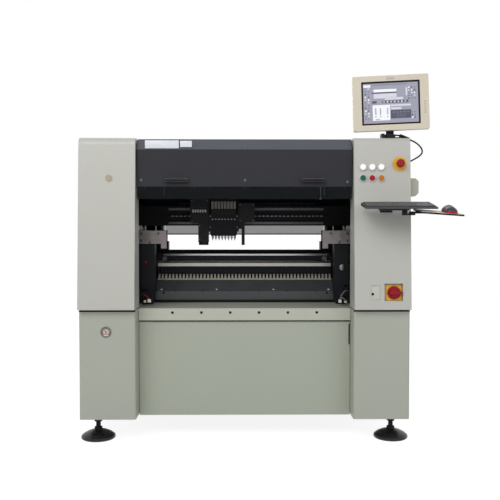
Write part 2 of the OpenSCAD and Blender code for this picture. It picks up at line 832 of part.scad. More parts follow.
// Knob with a bar handle that lies level when the machine is on
module main_switch_knob() color([0.60, 0.12, 0.18]) machine() on_face(switch_at[0], switch_at[1])
    difference() {
        union() {
            face_round(30, pocket_deep - 6, pocket_deep - 2.3);
            face_round(switch_d, pocket_deep - 14, pocket_deep - 6.3);
            face_round(30, pocket_deep - 6.3, pocket_deep - 6);
            translate([-24, pocket_deep - 34, -7]) cube([63, 20, 14]);
            face_round(40, pocket_deep - 24, pocket_deep - 14);
        }
        for (a = [0:30:330])
            rotate([0, a, 0]) translate([switch_d / 2 + 1, pocket_deep - 15, -3]) cube([4, 5, 6]);
    }

// ---- monitor ----

module at_stand() {
    translate([stand_at[0], stand_at[1], 0]) rotate([0, 0, -monitor_pan]) children();
}

module at_tilt() {
    at_stand() translate([0, tilt_y, tilt_z]) rotate([-monitor_lean, 0, 0]) children();
}

// Foot plate with a round pivot post and a cable gland block
module monitor_mount() color([0.12, 0.12, 0.13]) machine() {
    translate([stand_at[0], stand_at[1], cover_top]) {
        linear_extrude(7) round_rect(92, 100, 10);
        translate([0, 0, 7]) cylinder(d = 52, h = 8);
        translate([0, 0, 15]) cylinder(d = 20, h = 14);
        block([0, 20], [31, 50], [7, 33]);
        block([-46, -30], [-14, 30], [7, 30]);
    }
}

// Turntable with an upright arm and two ears for the tilt pin
module monitor_yoke() color([0.62, 0.62, 0.62]) machine() at_stand() difference() {
    z = cover_top + 15 + gap;
    union() {
        translate([0, 0, z]) cylinder(d = 56, h = 10);
        block([-20, 20], [9, 19], [z + 5, tilt_z - 24]);
        block([-26, 26], [4, 28], [tilt_z - 34, tilt_z - 24]);
        both_sides() across([18, 26]) {
            translate([tilt_y, tilt_z]) circle(12);
            translate([tilt_y - 12, tilt_z - 24]) square([24, 24]);
        }
    }
    translate([0, 0, z - 1]) cylinder(d = 20.1, h = 20);
    rod_x(tilt_y, tilt_z, 8.1, [-30, 30]);
}

// Turn of the case in its own plane
module in_plane() {
    rotate([0, -monitor_roll, 0]) children();
}

// Case: front frame, stepped back and the pivot boss with its pin
module monitor_case() color([0.80, 0.78, 0.73]) machine() at_tilt() {
    in_plane() difference() {
        union() {
            translate([0, -22, 0]) rotate([90, 0, 0])
                linear_extrude(case_t - 16) round_rect(monitor_w, monitor_h, 8);
            translate([0, -16, 0]) rotate([90, 0, 0])
                linear_extrude(6) round_rect(monitor_w - 60, monitor_h - 110, 12);
        }
        // opening for the panel, with a stepped edge, and cooling slots at the back
        translate([0, -52.1, 0]) rotate([-90, 0, 0]) linear_extrude(4)
            square([screen_w + 8, screen_h + 8], center = true);
        translate([0, -50, 0]) rotate([-90, 0, 0]) linear_extrude(6)
            square([screen_w, screen_h], center = true);
        for (i = [0:4])
            translate([0, -16, 32 + i * 10]) cube([180, 8, 4], center = true);
    }
    both_sides() block([4, 17.7], [-17, 0], [-12, 12]);
    rod_x(0, 0, 24, [-17.7, -4]);
    rod_x(0, 0, 24, [4, 17.7]);
    rod_x(0, 0, 8, [-28, 28]);
}

module monitor_screen() color([0.58, 0.58, 0.64]) machine() at_tilt() in_plane()
    translate([0, -44, 0]) rotate([90, 0, 0])
        linear_extrude(3) square([screen_w, screen_h], center = true);

// ---- fittings, keyboard and mouse ----

// Side box, access plug, pressure gauge and the keyboard's wall bracket
module cover_fittings() color([0.70, 0.69, 0.63]) machine() {
    along([60, 190]) polygon([
        [half_w, 1243], [half_w + 38, 1243], [half_w + 53, 1258], [half_w + 53, 1318],
        [half_w + 38, 1333], [half_w, 1333]
    ]);
    on_face(-677, 1329) {
        face_round(29.9, 0, 12);
        face_round(37, -3, 0);
    }
    rod_y(-694, 561, 57.9, [-3, 12]);
    // wall bracket with the vertical pivot pin of the keyboard arm
    on_face(arm_at[0], arm_z + 14) translate([-30, -6, -22]) cube([60, 6, 44]);
    block([arm_at[0] - 14, arm_at[0] + 14], [arm_at[1], face_y(arm_z) - 4], [arm_z - 8, arm_z]);
    translate([arm_at[0], arm_at[1], arm_z - 8]) cylinder(d = 30, h = 8);
    translate([arm_at[0], arm_at[1], arm_z]) cylinder(d = 12, h = 22);
}

// Swinging arm with the sloped holder under the keyboard
module keyboard_arm() color([0.13, 0.13, 0.14]) machine() {
    foot = arm_z + gap;
    difference() {
        union() {
            translate([arm_at[0], arm_at[1], foot]) cylinder(d = 34, h = 14);
            block([arm_at[0] - 14, arm_at[0] + 14], [-100, arm_at[1]], [foot, arm_z + 14]);
            across(holder_x) polygon([
                [key_at[1] + 6, foot], [-80, foot],
                [-80, key_at[2] + (-80 - key_at[1]) * tan(key_tilt)],
                [key_at[1] + 6, key_at[2] + 6 * tan(key_tilt)]
            ]);
        }
        translate([arm_at[0], arm_at[1], arm_z - 4]) cylinder(d = 12.1, h = 40);
    }
    // shelf and pin for the mouse tray
    shelf_y = [tray_at[1] - 14, tray_at[1] + 14];
    block([tray_at[0] - 44, tray_at[0] - 24], shelf_y, [tray_z - 8, foot]);
    block([tray_at[0] - 44, tray_at[0] + 14], shelf_y, [tray_z - 8, tray_z]);
    translate([tray_at[0], tray_at[1], tray_z]) cylinder(d = 8, h = 6);
}

// Keyboard body, sloped to the operator, with rows of keys
module keyboard() color([0.35, 0.36, 0.37]) machine()
    translate(key_at) rotate([key_tilt, 0, 0]) {
        front_h = 9;
        rise = 6 / 144;
        across([0, 342]) polygon([
            [-4, 4], [-2, 0], [146, 0], [148, 13], [144, front_h + 144 * rise],
            [0, front_h], [-4, 7]
        ]);
        for (row = [0:5], k = [0:17])
            translate([8 + k * 18.2, 9 + row * 22.3, front_h - 1 + (9 + row * 22.3) * rise])
                rotate([atan(rise), 0, 0]) cube([15.8, 18, 6.5]);
    }

// Flat tray on its own pivot, drooping a little to the right
module at_tray() {
    translate([tray_at[0], tray_at[1], tray_z + gap]) children();
}

module tray_plane() {
    translate([26, 0, 8.2]) rotate([tray_tilt, 0, 0]) rotate([0, tray_droop, 0]) children();
}

module mouse_tray() color([0.78, 0.77, 0.74]) machine() at_tray() {
    difference() {
        union() {
            cylinder(d = 26, h = 10);
            block([0, 60], [-12, 12], [0, 10]);
        }
        translate([0, 0, -1]) cylinder(d = 8.1, h = 8);
    }
    tray_plane() block([0, tray_len], tray_y, [0, 8]);
}

// Low dome of the mouse, flat underneath
module mouse() color([0.38, 0.36, 0.40]) machine() at_tray() tray_plane()
    translate([150, -20, 8]) difference() {
        hull() {
            translate([0, -24, -2]) sphere(r = 32, $fn = 28);
            translate([0, 22, 2]) sphere(r = 34, $fn = 28);
        }
        translate([-60, -80, -60]) cube([120, 160, 60]);
    }

// ---- cable ----

function unit(v) = v / norm(v);

// Direction of the route at a point, from its neighbours
function heading(p, i) = unit(p[min(i + 1, len(p) - 1)] - p[max(i - 1, 0)]);

// A ring of points around the route at one point
function ring(p, i, r, n) =
    let (d = heading(p, i), a = unit(cross(d, [0, 1, 0])), b = cross(a, d))
    [for (k = [0:n - 1]) p[i] + r * (cos(360 * k / n) * a + sin(360 * k / n) * b)];

// A round tube swept along a route
module tube(p, d, n) {
    m = len(p);
    polyhedron(
        points = [for (i = [0:m - 1]) each ring(p, i, d / 2, n)],
        faces = concat(
            [[for (k = [0:n - 1]) k]],
            [for (i = [0:m - 2], k = [0:n - 1])
                [i * n + k, (i + 1) * n + k, (i + 1) * n + (k + 1) % n, i * n + (k + 1) % n]],
            [[for (k = [n - 1:-1:0]) (m - 1) * n + k]]
        )
    );
}

module monitor_cable() color("black") machine() tube(cable_route, cable_d, 10);

module ferrite_bead() color("black") machine() {
    a = cable_route[bead_span[0]];
    d = cable_route[bead_span[1]] - a;
    translate(a) rotate([0, acos(d[2] / norm(d)), atan2(d[1], d[0])]) difference() {
        cylinder(d = 20, h = norm(d));
        translate([0, 0, -1]) cylinder(d = cable_d + 0.1, h = norm(d) + 2);
    }
}

base_frame();
levelling_feet();
left_lower_cover();
right_lower_cover();
lower_panels();
feeder_shelves();
left_upper_cover();
right_upper_cover();
top_cover();
machine_bed();
gantry_posts();
y_frames();
feeder_bases();
feeder_combs();
pickup_bars();
feeder_covers();
conveyor_frame();
conveyor_fixed_rail();
conveyor_moving_rail();
width_screw();
drive_shaft();
push_up_table();
hood_shell();
hood_window();
rear_hood();
x_beam();
x_rails();
y_sliders();
head_carriage();
head_motors();
head_side_units();
spindle(0);  // spindle_1
spindle(1);  // spindle_2
spindle(2);  // spindle_3
spindle(3);  // spindle_4
spindle(4);  // spindle_5
spindle(5);  // spindle_6
spindle(6);  // spindle_7
spindle(7);  // spindle_8
button_bezels();
white_button_1();
white_button_2();
white_button_3();
green_button();
red_button();
orange_button();
safety_plates();
estop_button();
main_switch_knob();
monitor_mount();
monitor_yoke();
monitor_case();
monitor_screen();
cover_fittings();
keyboard_arm();
keyboard();
mouse_tray();
mouse();
monitor_cable();
ferrite_bead();
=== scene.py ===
import math

import bmesh
import bpy
from mathutils import Matrix, Vector
from mathutils.bvhtree import BVHTree


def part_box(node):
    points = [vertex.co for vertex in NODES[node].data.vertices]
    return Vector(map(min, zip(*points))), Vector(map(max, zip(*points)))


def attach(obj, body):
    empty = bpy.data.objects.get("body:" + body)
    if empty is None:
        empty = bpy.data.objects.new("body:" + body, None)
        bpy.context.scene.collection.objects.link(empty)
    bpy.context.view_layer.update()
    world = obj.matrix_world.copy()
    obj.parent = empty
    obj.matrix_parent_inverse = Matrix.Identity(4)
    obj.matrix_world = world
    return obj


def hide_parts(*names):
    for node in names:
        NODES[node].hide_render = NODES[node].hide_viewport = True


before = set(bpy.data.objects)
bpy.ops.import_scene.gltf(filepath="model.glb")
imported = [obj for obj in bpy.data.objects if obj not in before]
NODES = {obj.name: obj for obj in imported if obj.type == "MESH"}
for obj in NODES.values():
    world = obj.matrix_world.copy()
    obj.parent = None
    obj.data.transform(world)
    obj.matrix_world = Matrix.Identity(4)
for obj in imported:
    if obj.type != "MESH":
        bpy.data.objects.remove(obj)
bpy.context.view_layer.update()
SPINDLES = 8

# ---------------------------------------------------------------- places
# The shapes below are written in millimetres from the middle of the front of the
# lower covers, which is where the part's source has its zero.
MID_X = (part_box("top_cover")[0].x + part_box("top_cover")[1].x) / 2
FRONT_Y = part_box("left_lower_cover")[0].y
DEPTH = (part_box("left_lower_cover")[1].y - FRONT_Y) * 1000
# The front of the upper covers starts at (FACE_FOOT_Y, FACE_FOOT_Z) and leans back from
# there by 55 mm on the 861 mm up to the roof.
LEAN = math.atan(55 / 861)
FACE_FOOT_Y = -35
FACE_FOOT_Z = 674


def P(x, y, z):
    """The scene's place, in metres, of a point of the machine in millimetres."""
    return Vector((MID_X + x / 1000, FRONT_Y + y / 1000, z / 1000))


def place(x, y, z):
    """Millimetre space moved so that its zero lies at a point of the machine."""
    return Matrix.Translation(P(x, y, z)) @ Matrix.Scale(0.001, 4)


def face_y(z):
    return FACE_FOOT_Y + (z - FACE_FOOT_Z) * math.tan(LEAN)


def on_face(x, z):
    """Millimetre space on the leaning front face: -Y points out of the cover."""
    return place(x, face_y(z), z) @ Matrix.Rotation(-LEAN, 4, "X")


MACHINE = place(0, 0, 0)
# How the monitor stands in the photograph
PAN = math.radians(-6)
TILT = math.radians(-2)
ROLL = math.radians(-1.8)
STAND = place(748, 120, 0) @ Matrix.Rotation(PAN, 4, "Z")
MONITOR = (STAND @ Matrix.Translation((0, 16, 1717)) @ Matrix.Rotation(TILT, 4, "X")
           @ Matrix.Rotation(ROLL, 4, "Y"))
# The keyboard slopes up to the back by 8 degrees, and the mouse tray droops
KEYBOARD = place(572, -196, 1171) @ Matrix.Rotation(math.radians(8), 4, "X")
TRAY = (place(800, -150, 1150.3) @ Matrix.Translation((26, 0, 8.2))
        @ Matrix.Rotation(math.radians(6), 4, "X") @ Matrix.Rotation(math.radians(4), 4, "Y"))
TRAY_BACK = TRAY.inverted()
KEYBOARD_BACK = KEYBOARD.inverted()


# ---------------------------------------------------------------- materials
def srgb(r, g, b):
    """A colour as a picture shows it, from 0 to 255, as the linear values of a material."""
    def lin(c):
        c /= 255
        return c / 12.92 if c <= 0.04045 else ((c + 0.055) / 1.055) ** 2.4

    return (lin(r), lin(g), lin(b), 1)


def node(tree, kind, **values):
    """A new shader node with its settings or the values of its inputs."""
    n = tree.nodes.new(kind)
    for k, v in values.items():
        if hasattr(n, k):
            setattr(n, k, v)
        else:
            n.inputs[k.replace("_", " ")].default_value = v
    return n


def noise(tree, coords, scale, detail, rough):
    n = node(tree, "ShaderNodeTexNoise")
    n.inputs["Scale"].default_value = scale
    n.inputs["Detail"].default_value = detail
    n.inputs["Roughness"].default_value = rough
    tree.links.new(coords, n.inputs["Vector"])
    return n.outputs["Fac"]


def mapped(tree, value, low, high, to_low, to_high):
    n = node(tree, "ShaderNodeMapRange")
    n.inputs["From Min"].default_value = low
    n.inputs["From Max"].default_value = high
    n.inputs["To Min"].default_value = to_low
    n.inputs["To Max"].default_value = to_high
    tree.links.new(value, n.inputs["Value"])
    return n.outputs["Result"]


def blended(tree, fac, a, b, kind="MIX"):
    """Two colours mixed by a factor. Inputs 0, 6 and 7 are the factor, A and B."""
    n = node(tree, "ShaderNodeMix", data_type="RGBA", blend_type=kind)
    for i, v in ((0, fac), (6, a), (7, b)):
        if isinstance(v, (tuple, float, int)):
            n.inputs[i].default_value = v
        else:
            tree.links.new(v, n.inputs[i])
    return n.outputs[2]


def shade(rgb, k):
    """A colour made lighter or darker by a factor."""
    return (min(1, rgb[0] * k), min(1, rgb[1] * k), min(1, rgb[2] * k), 1)


DUST = srgb(150, 146, 138)


def material(
    name, rgb, rough, *, mottle, metal=0.0, mottle_scale=3.0, grain=0.0, grain_scale=400.0,
    brushed=None, dust=0.0, coat=0.0, alpha=1.0, rough_spread=0.08, specular=0.5,
):
    """A procedural finish: uneven colour, uneven gloss and a fine surface grain.

    brushed is the stretch of the grain along X, Y and Z for ground or drawn metal.
    dust lightens the faces that look up.
    """
    m = bpy.data.materials.new(name)
    m.use_nodes = True
    t = m.node_tree
    t.nodes.clear()
    out = node(t, "ShaderNodeOutputMaterial")
    s = node(t, "ShaderNodeBsdfPrincipled")
    t.links.new(s.outputs[0], out.inputs["Surface"])
    s.inputs["Metallic"].default_value = metal
    s.inputs["Specular IOR Level"].default_value = specular
    s.inputs["Coat Weight"].default_value = coat
    s.inputs["Coat Roughness"].default_value = 0.2
    if alpha < 1:
        s.inputs["Alpha"].default_value = alpha
    coords = node(t, "ShaderNodeTexCoord").outputs["Object"]
    if brushed:
        stretch = node(t, "ShaderNodeMapping")
        stretch.inputs["Scale"].default_value = brushed
        t.links.new(coords, stretch.inputs["Vector"])
        grained = stretch.outputs["Vector"]
    else:
        grained = coords
    big = noise(t, coords, mottle_scale, 4, 0.6)
    fine = noise(t, grained, grain_scale, 3, 0.6)
    tone = mapped(t, big, 0.3, 0.7, 0, 1)
    colour = blended(t, tone, shade(rgb, 1 - mottle), shade(rgb, 1 + mottle))
    darker = blended(t, 1.0, colour, (1 - mottle, 1 - mottle, 1 - mottle, 1), "MULTIPLY")
    colour = blended(t, mapped(t, fine, 0.3, 0.7, 0, 1), colour, darker)
    if dust:
        up = node(t, "ShaderNodeSeparateXYZ")
        t.links.new(node(t, "ShaderNodeNewGeometry").outputs["Normal"], up.inputs[0])
        patches = noise(t, coords, 14, 5, 0.7)
        amount = node(t, "ShaderNodeMath", operation="MULTIPLY")
        t.links.new(mapped(t, up.outputs["Z"], 0.5, 1, 0, dust), amount.inputs[0])
        t.links.new(mapped(t, patches, 0.35, 0.65, 0.4, 1), amount.inputs[1])
        colour = blended(t, amount.outputs[0], colour, DUST)
    t.links.new(colour, s.inputs["Base Color"])
    uneven = noise(t, grained, grain_scale / 6, 4, 0.6)
    gloss = mapped(t, uneven, 0.3, 0.7, max(0.02, rough - rough_spread),
                   min(1, rough + rough_spread))
    t.links.new(gloss, s.inputs["Roughness"])
    if grain:
        bump = node(t, "ShaderNodeBump")
        bump.inputs["Strength"].default_value = min(1.0, grain)
        bump.inputs["Distance"].default_value = 0.0004
        t.links.new(fine, bump.inputs["Height"])
        t.links.new(bump.outputs[0], s.inputs["Normal"])
    return m


def glowing(name, rgb, strength, rough=0.35):
    """A surface that gives light of its own: the display, and the white buttons, whose glow is
    painted light.
    """
    m = material(name, rgb, rough=rough, mottle=0.02, mottle_scale=20, grain_scale=900)
    s = m.node_tree.nodes["Principled BSDF"]
    s.inputs["Emission Color"].default_value = rgb
    s.inputs["Emission Strength"].default_value = strength
    return m


UPPER = material("upper_paint_finish", srgb(196, 195, 187), 0.42, mottle=0.012, mottle_scale=2.2,
                 grain=0.10, grain_scale=420, dust=0.04, coat=0.12)
LOWER = material("cover_paint_finish", srgb(178, 181, 168), 0.45, mottle=0.014, mottle_scale=2.0,
                 grain=0.10, grain_scale=420, dust=0.05, coat=0.10)
PANEL = material("panel_paint_finish", srgb(176, 181, 166), 0.45, mottle=0.014, mottle_scale=2.5,
                 grain=0.10, grain_scale=420, coat=0.10)
# The feeder shelves' cream paint, made lighter as painted light for the shelf top, which lies in
# the shade of the bay.
APRON_LIT = material("apron_paint_and_painted_light_finish", srgb(192, 193, 179), 0.42, mottle=0.014, mottle_scale=3,
                 grain=0.10, grain_scale=420, dust=0.05, coat=0.12)
# Painted shade: the faces inside the bay and under the roof lie in shade, and this dark finish
# stands in for it.
PAINTED_BAY_SHADE = material("painted_bay_shade_finish", srgb(34, 36, 41), 0.75, mottle=0.12, mottle_scale=6,
                  grain=0.2, specular=0.1)
FRAME = material("frame_steel_finish", srgb(90, 92, 94), 0.5, mottle=0.06, grain=0.2,
                 grain_scale=300)
BLACK = material("black_steel_finish", srgb(30, 31, 35), 0.55, mottle=0.10, mottle_scale=8,
                 grain=0.25, grain_scale=600, dust=0.04, specular=0.15)
RUBBER = material("foot_rubber_finish", srgb(15, 18, 17), 0.32, mottle=0.10, mottle_scale=12,
                  grain=0.12, coat=0.15, dust=0.02, specular=0.3)
ZINC = material("zinc_stem_finish", srgb(150, 150, 146), 0.35, metal=1.0, mottle=0.10,
                mottle_scale=20, grain=0.3, grain_scale=700)
CAST = material("cast_alu_finish", srgb(140, 132, 131), 0.42, metal=0.55, mottle=0.10,
                mottle_scale=14, grain=0.9, grain_scale=300)
ALU = material("clean_alu_finish", srgb(196, 196, 192), 0.34, metal=0.8, mottle=0.05,
               mottle_scale=10, grain=0.3, grain_scale=500, brushed=(0.04, 1, 1))
STEEL = material("ground_steel_finish", srgb(170, 170, 172), 0.26, metal=1.0, mottle=0.06,
                 mottle_scale=12, grain=0.3, grain_scale=900, brushed=(1, 1, 0.05))
# Painted light: the upward-facing band along the top of the hoods gets a paler grey for the light
# it catches.
LIT_HOOD_BAND = material("hood_band_painted_light_finish", srgb(88, 91, 97), 0.45, mottle=0.03, mottle_scale=4,
                     grain=0.15, dust=0.05, specular=0.25)
HOOD_PANEL = material("hood_panel_finish", srgb(54, 54, 59), 0.45, mottle=0.05, mottle_scale=3,
                      grain=0.15, specular=0.12)
SMOKED = material("smoked_acrylic_finish", srgb(14, 19, 22), 0.10, mottle=0.05, mottle_scale=5,
                  alpha=0.76, rough_spread=0.03, specular=0.12)
FEEDER = material("feeder_sheet_finish", srgb(66, 68, 71), 0.38, mottle=0.07, mottle_scale=7,
                  grain=0.25, grain_scale=500, dust=0.12, coat=0.05)
REAR_WINDOW = material("rear_acrylic_finish", srgb(40, 44, 46), 0.12, mottle=0.05, mottle_scale=5,
                       alpha=0.5, rough_spread=0.03, specular=0.12)
RAIL_DARK = material("rail_dark_finish", srgb(104, 104, 106), 0.45, metal=0.3, mottle=0.12,
                     mottle_scale=16, grain=0.3, brushed=(0.05, 1, 1), specular=0.3)
MOTOR = material("motor_case_finish", srgb(142, 139, 130), 0.45, mottle=0.08, mottle_scale=40,
                 grain=0.2, specular=0.3)
TOOTH = material("feeder_tooth_finish", srgb(172, 166, 154), 0.42, metal=0.2, mottle=0.1,
                 mottle_scale=60, grain=0.2)
# Painted light: the white buttons get a glow that makes them look brighter.
GLOW_PAINTED_WHITE = glowing("button_white_painted_glow_finish", srgb(246, 246, 242), 0.28, 0.25)
CREAM = material("cream_plastic_finish", srgb(222, 212, 192), 0.48, mottle=0.02, mottle_scale=6,
                 grain=0.35, grain_scale=900)
LINER = material("dark_line_finish", srgb(20, 21, 24), 0.6, mottle=0.1, mottle_scale=20,
                 specular=0.15)
LABEL_WHITE = material("label_white_finish", srgb(232, 235, 240), 0.35, mottle=0.02,
                       mottle_scale=30)
LABEL_GREY = material("label_grey_finish", srgb(206, 202, 200), 0.35, mottle=0.02, mottle_scale=30)
PLUG = material("plug_plastic_finish", srgb(176, 165, 140), 0.45, mottle=0.03, mottle_scale=20,
                grain=0.2)
BOX = material("side_box_finish", srgb(190, 189, 175), 0.45, mottle=0.02, mottle_scale=8,
               grain=0.15)
BLACK_PLASTIC = material("black_plastic_finish", srgb(30, 30, 32), 0.5, mottle=0.08,
                         mottle_scale=20, grain=0.35, grain_scale=900, specular=0.2)
WHITE_PLASTIC = material("white_plastic_finish", srgb(236, 235, 230), 0.22, mottle=0.01,
                         mottle_scale=30, coat=0.4)
GREEN = material("green_plastic_finish", srgb(8, 100, 76), 0.25, mottle=0.05, mottle_scale=40,
                 specular=0.25)
RED = material("red_plastic_finish", srgb(170, 22, 34), 0.25, mottle=0.05, mottle_scale=40,
               specular=0.25)
ORANGE = material("orange_plastic_finish", srgb(206, 120, 30), 0.25, mottle=0.05, mottle_scale=40,
                  specular=0.25)
YELLOW = material("yellow_plastic_finish", srgb(238, 184, 54), 0.42, mottle=0.04, mottle_scale=20,
                  grain=0.15, specular=0.25)
KNOB = material("switch_red_finish", srgb(158, 24, 38), 0.36, mottle=0.05, mottle_scale=30,
                grain=0.2, specular=0.22)
KEY_DARK = material("keyboard_case_finish", srgb(60, 61, 64), 0.5, mottle=0.05, mottle_scale=20,
                    grain=0.4, grain_scale=900)
KEY_TOP = material("key_top_finish", srgb(84, 85, 88), 0.5, mottle=0.05, mottle_scale=20,
                   grain=0.3, grain_scale=900, specular=0.25)
MOUSE = material("mouse_finish", srgb(66, 60, 72), 0.4, mottle=0.04, mottle_scale=30, grain=0.2,
                 specular=0.25)
JACKET = material("cable_jacket_finish", srgb(20, 21, 26), 0.5, mottle=0.06, mottle_scale=60,
                  grain=0.3, grain_scale=900, specular=0.15)
RAIL_WHITE = material("rail_white_finish", srgb(206, 203, 198), 0.35, metal=0.25, mottle=0.04,
                      mottle_scale=12, grain=0.2)
REAR_PAINT = material("rear_hood_finish", srgb(140, 141, 134), 0.45, mottle=0.03, mottle_scale=3,
                      grain=0.15, coat=0.08, dust=0.04)
SCREEN = glowing("screen_glass_finish", srgb(150, 150, 165), 0.25)


def dress(name, mat, *rules):
    """Gives a CAD node its finish. A rule is (test, material): faces whose middle and
    outward normal, in machine millimetres, pass the test take that material."""
    obj = NODES[name]
    obj.data.materials.clear()
    obj.data.materials.append(mat)
    for test, other in rules:
        obj.data.materials.append(other)
    for poly in obj.data.polygons:
        poly.material_index = 0
        c = poly.center
        at = ((c.x - MID_X) * 1000, (c.y - FRONT_Y) * 1000, c.z * 1000)
        for i, (test, other) in enumerate(rules):
            if test(at, poly.normal):
                poly.material_index = i + 1
                break


# Nodes of one finish
PLAIN = {"base_frame": FRAME, "lower_panels": PANEL, "feeder_shelves": APRON_LIT,
         "left_lower_cover": LOWER, "right_lower_cover": LOWER, "machine_bed": BLACK,
         "gantry_posts": BLACK, "y_frames": CAST, "feeder_bases": BLACK, "pickup_bars": RAIL_WHITE,
         "feeder_combs": TOOTH, "feeder_covers": FEEDER, "conveyor_frame": BLACK,
         "conveyor_moving_rail": BLACK, "width_screw": RAIL_DARK, "drive_shaft": RAIL_DARK,
         "push_up_table": ALU, "hood_window": SMOKED, "x_beam": BLACK, "y_sliders": ZINC,
         "head_carriage": BLACK, "head_side_units": BLACK_PLASTIC, "button_bezels": LABEL_GREY,
         "white_button_1": GLOW_PAINTED_WHITE, "white_button_2": GLOW_PAINTED_WHITE, "white_button_3": GLOW_PAINTED_WHITE,
         "green_button": GREEN, "red_button": RED, "orange_button": ORANGE,
         "safety_plates": YELLOW, "estop_button": KNOB, "main_switch_knob": KNOB,
         "monitor_mount": BLACK_PLASTIC, "monitor_yoke": BLACK_PLASTIC, "monitor_case": CREAM,
         "monitor_screen": SCREEN, "keyboard_arm": BLACK, "monitor_cable": JACKET,
         "ferrite_bead": BLACK_PLASTIC}
for name, mat in PLAIN.items():
    dress(name, mat)
for i in range(1, SPINDLES + 1):
    dress(f"spindle_{i}", STEEL)

# Heights and depths, in machine millimetres, at which a finish changes
FOOT_DOME = 48
BAY_FRONT = 131
BAY_SIDE = 766
BAY_ROOF = 1501
BAY_FLANGES = (500, 900)
ROOF_SHEET = 1530
BAND_FOOT = 1474
BAND_TOP = 1535
HANDLE = (1300, 1336)
HANDLE_BACK = 39
REAR_LIP = 1044
REAR_PANE_TOP = 1290
REAR_PANE_DEPTH = 49
MOTOR_CASE = (1190, 1231)
RAIL_CREST = 914
SCALE = (1130, 1170)
BRACKET_TOP = 1215
BRACKET_BACK = 60
# Heights over the keyboard's and the mouse tray's own faces
KEY_EDGE = 13
MOUSE_BELT = 16


def in_bay_shade(c, n):
    """The faces of an upper side cover that look into the bay, which get the dark painted shade.
    """
    deep = BAY_FRONT < c[1] < DEPTH - BAY_FRONT
    flange = c[1] > BAY_FLANGES[1] and n.y < -0.5 or c[1] < BAY_FLANGES[0] and n.y > 0.5
    return (deep or flange) and abs(c[0]) < BAY_SIDE and c[2] < BAY_ROOF


def band(c, n):
    """The band along the top of a hood, which faces up: it is painted paler as painted light."""
    return c[2] > BAND_FOOT and n.z > 0.2 or c[2] > BAND_TOP


def handle_highlight(c, n):
    """The upper side of the grab handles, which takes a paler metal as a painted highlight."""
    return HANDLE[0] < c[2] < HANDLE[1] and c[1] < HANDLE_BACK and n.z > 0.6


def rear_pane(c, n):
    """The window of the rear hood, which is one node with its frame."""
    return c[2] < REAR_PANE_TOP and c[1] > DEPTH - REAR_PANE_DEPTH


def arm_bracket(c, n):
    """The bracket of the keyboard arm, the one dark fitting on the right cover."""
    return c[2] < BRACKET_TOP and c[0] > 0 and c[1] < BRACKET_BACK


dress("levelling_feet", RUBBER, (lambda c, n: c[2] > FOOT_DOME, BLACK))
dress("left_upper_cover", UPPER, (in_bay_shade, PAINTED_BAY_SHADE))
dress("right_upper_cover", UPPER, (in_bay_shade, PAINTED_BAY_SHADE))
# the underside of the roof takes the painted shade of the bay too
dress("top_cover", UPPER, (lambda c, n: c[2] < ROOF_SHEET and n.z < 0.5, PAINTED_BAY_SHADE))
dress("hood_shell", HOOD_PANEL, (band, LIT_HOOD_BAND), (handle_highlight, RAIL_DARK))
dress("rear_hood", HOOD_PANEL, (band, LIT_HOOD_BAND),
      (lambda c, n: c[2] < REAR_LIP, REAR_PAINT), (rear_pane, REAR_WINDOW))
dress("head_motors", BLACK_PLASTIC,
      (lambda c, n: MOTOR_CASE[0] < c[2] < MOTOR_CASE[1], MOTOR))
dress("conveyor_fixed_rail", BLACK, (lambda c, n: c[2] > RAIL_CREST and n.z > 0.5, ALU))
dress("x_rails", RAIL_DARK, (lambda c, n: SCALE[0] < c[2] < SCALE[1], LINER))
dress("cover_fittings", BOX, (arm_bracket, BLACK_PLASTIC))
dress("mouse_tray", CREAM, (lambda c, n: n.z < 0.7, BLACK_PLASTIC))
dress("mouse", MOUSE, (lambda c, n: (TRAY_BACK @ P(*c)).z < MOUSE_BELT, RED))
dress("keyboard", KEY_DARK, (lambda c, n: (KEYBOARD_BACK @ P(*c)).z > KEY_EDGE, KEY_TOP))


# ---------------------------------------------------------------- piece makers
def finished(name, bm, mats, body, at=MACHINE, smooth=None):
    """Turns a bmesh in millimetres into a piece that rides on a body."""
    bm.transform(at)
    bmesh.ops.recalc_face_normals(bm, faces=bm.faces)
    mesh = bpy.data.meshes.new(name)
    bm.to_mesh(mesh)
    bm.free()
    for m in mats if isinstance(mats, (list, tuple)) else [mats]:
        mesh.materials.append(m)
    if smooth is not None:
        for p in mesh.polygons:
            p.use_smooth = True
        mesh.set_sharp_from_angle(angle=math.radians(smooth))
    obj = bpy.data.objects.new(name, mesh)
    bpy.context.scene.collection.objects.link(obj)
    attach(obj, body)
    return obj


def add_box(bm, lo, hi, bevel, segments, index, turn=None):
    """A block between two corners with rounded edges, added to a bmesh."""
    made = bmesh.ops.create_cube(bm, size=1)
    size = [hi[i] - lo[i] for i in range(3)]
    mid = [(hi[i] + lo[i]) / 2 for i in range(3)]
    m = Matrix.Translation(mid) @ Matrix.Diagonal((*size, 1))
    if turn is not None:
        m = turn @ m
    bmesh.ops.transform(bm, matrix=m, verts=made["verts"])
    faces = {f for v in made["verts"] for f in v.link_faces}
    edges = {e for f in faces for e in f.edges}
    bevel = min(bevel, min(size) * 0.45)
    if bevel > 0:
        new = bmesh.ops.bevel(bm, geom=list(edges), offset=bevel, segments=segments,
                              affect="EDGES", profile=0.5)
        faces = set(new["faces"]) | {f for f in faces if f.is_valid}
    for f in faces:
        if f.is_valid:
            f.material_index = index


def boxes(name, blocks, mats, body, at=MACHINE, *, bevel):
    """Many rounded blocks in one piece: each is (x, y, z) spans and a material index."""
    bm = bmesh.new()
    for b in blocks:
        (x0, x1), (y0, y1), (z0, z1) = b[:3]
        add_box(bm, (x0, y0, z0), (x1, y1, z1), bevel, 2, b[3] if len(b) > 3 else 0)
    finished(name, bm, mats, body, at, 40)


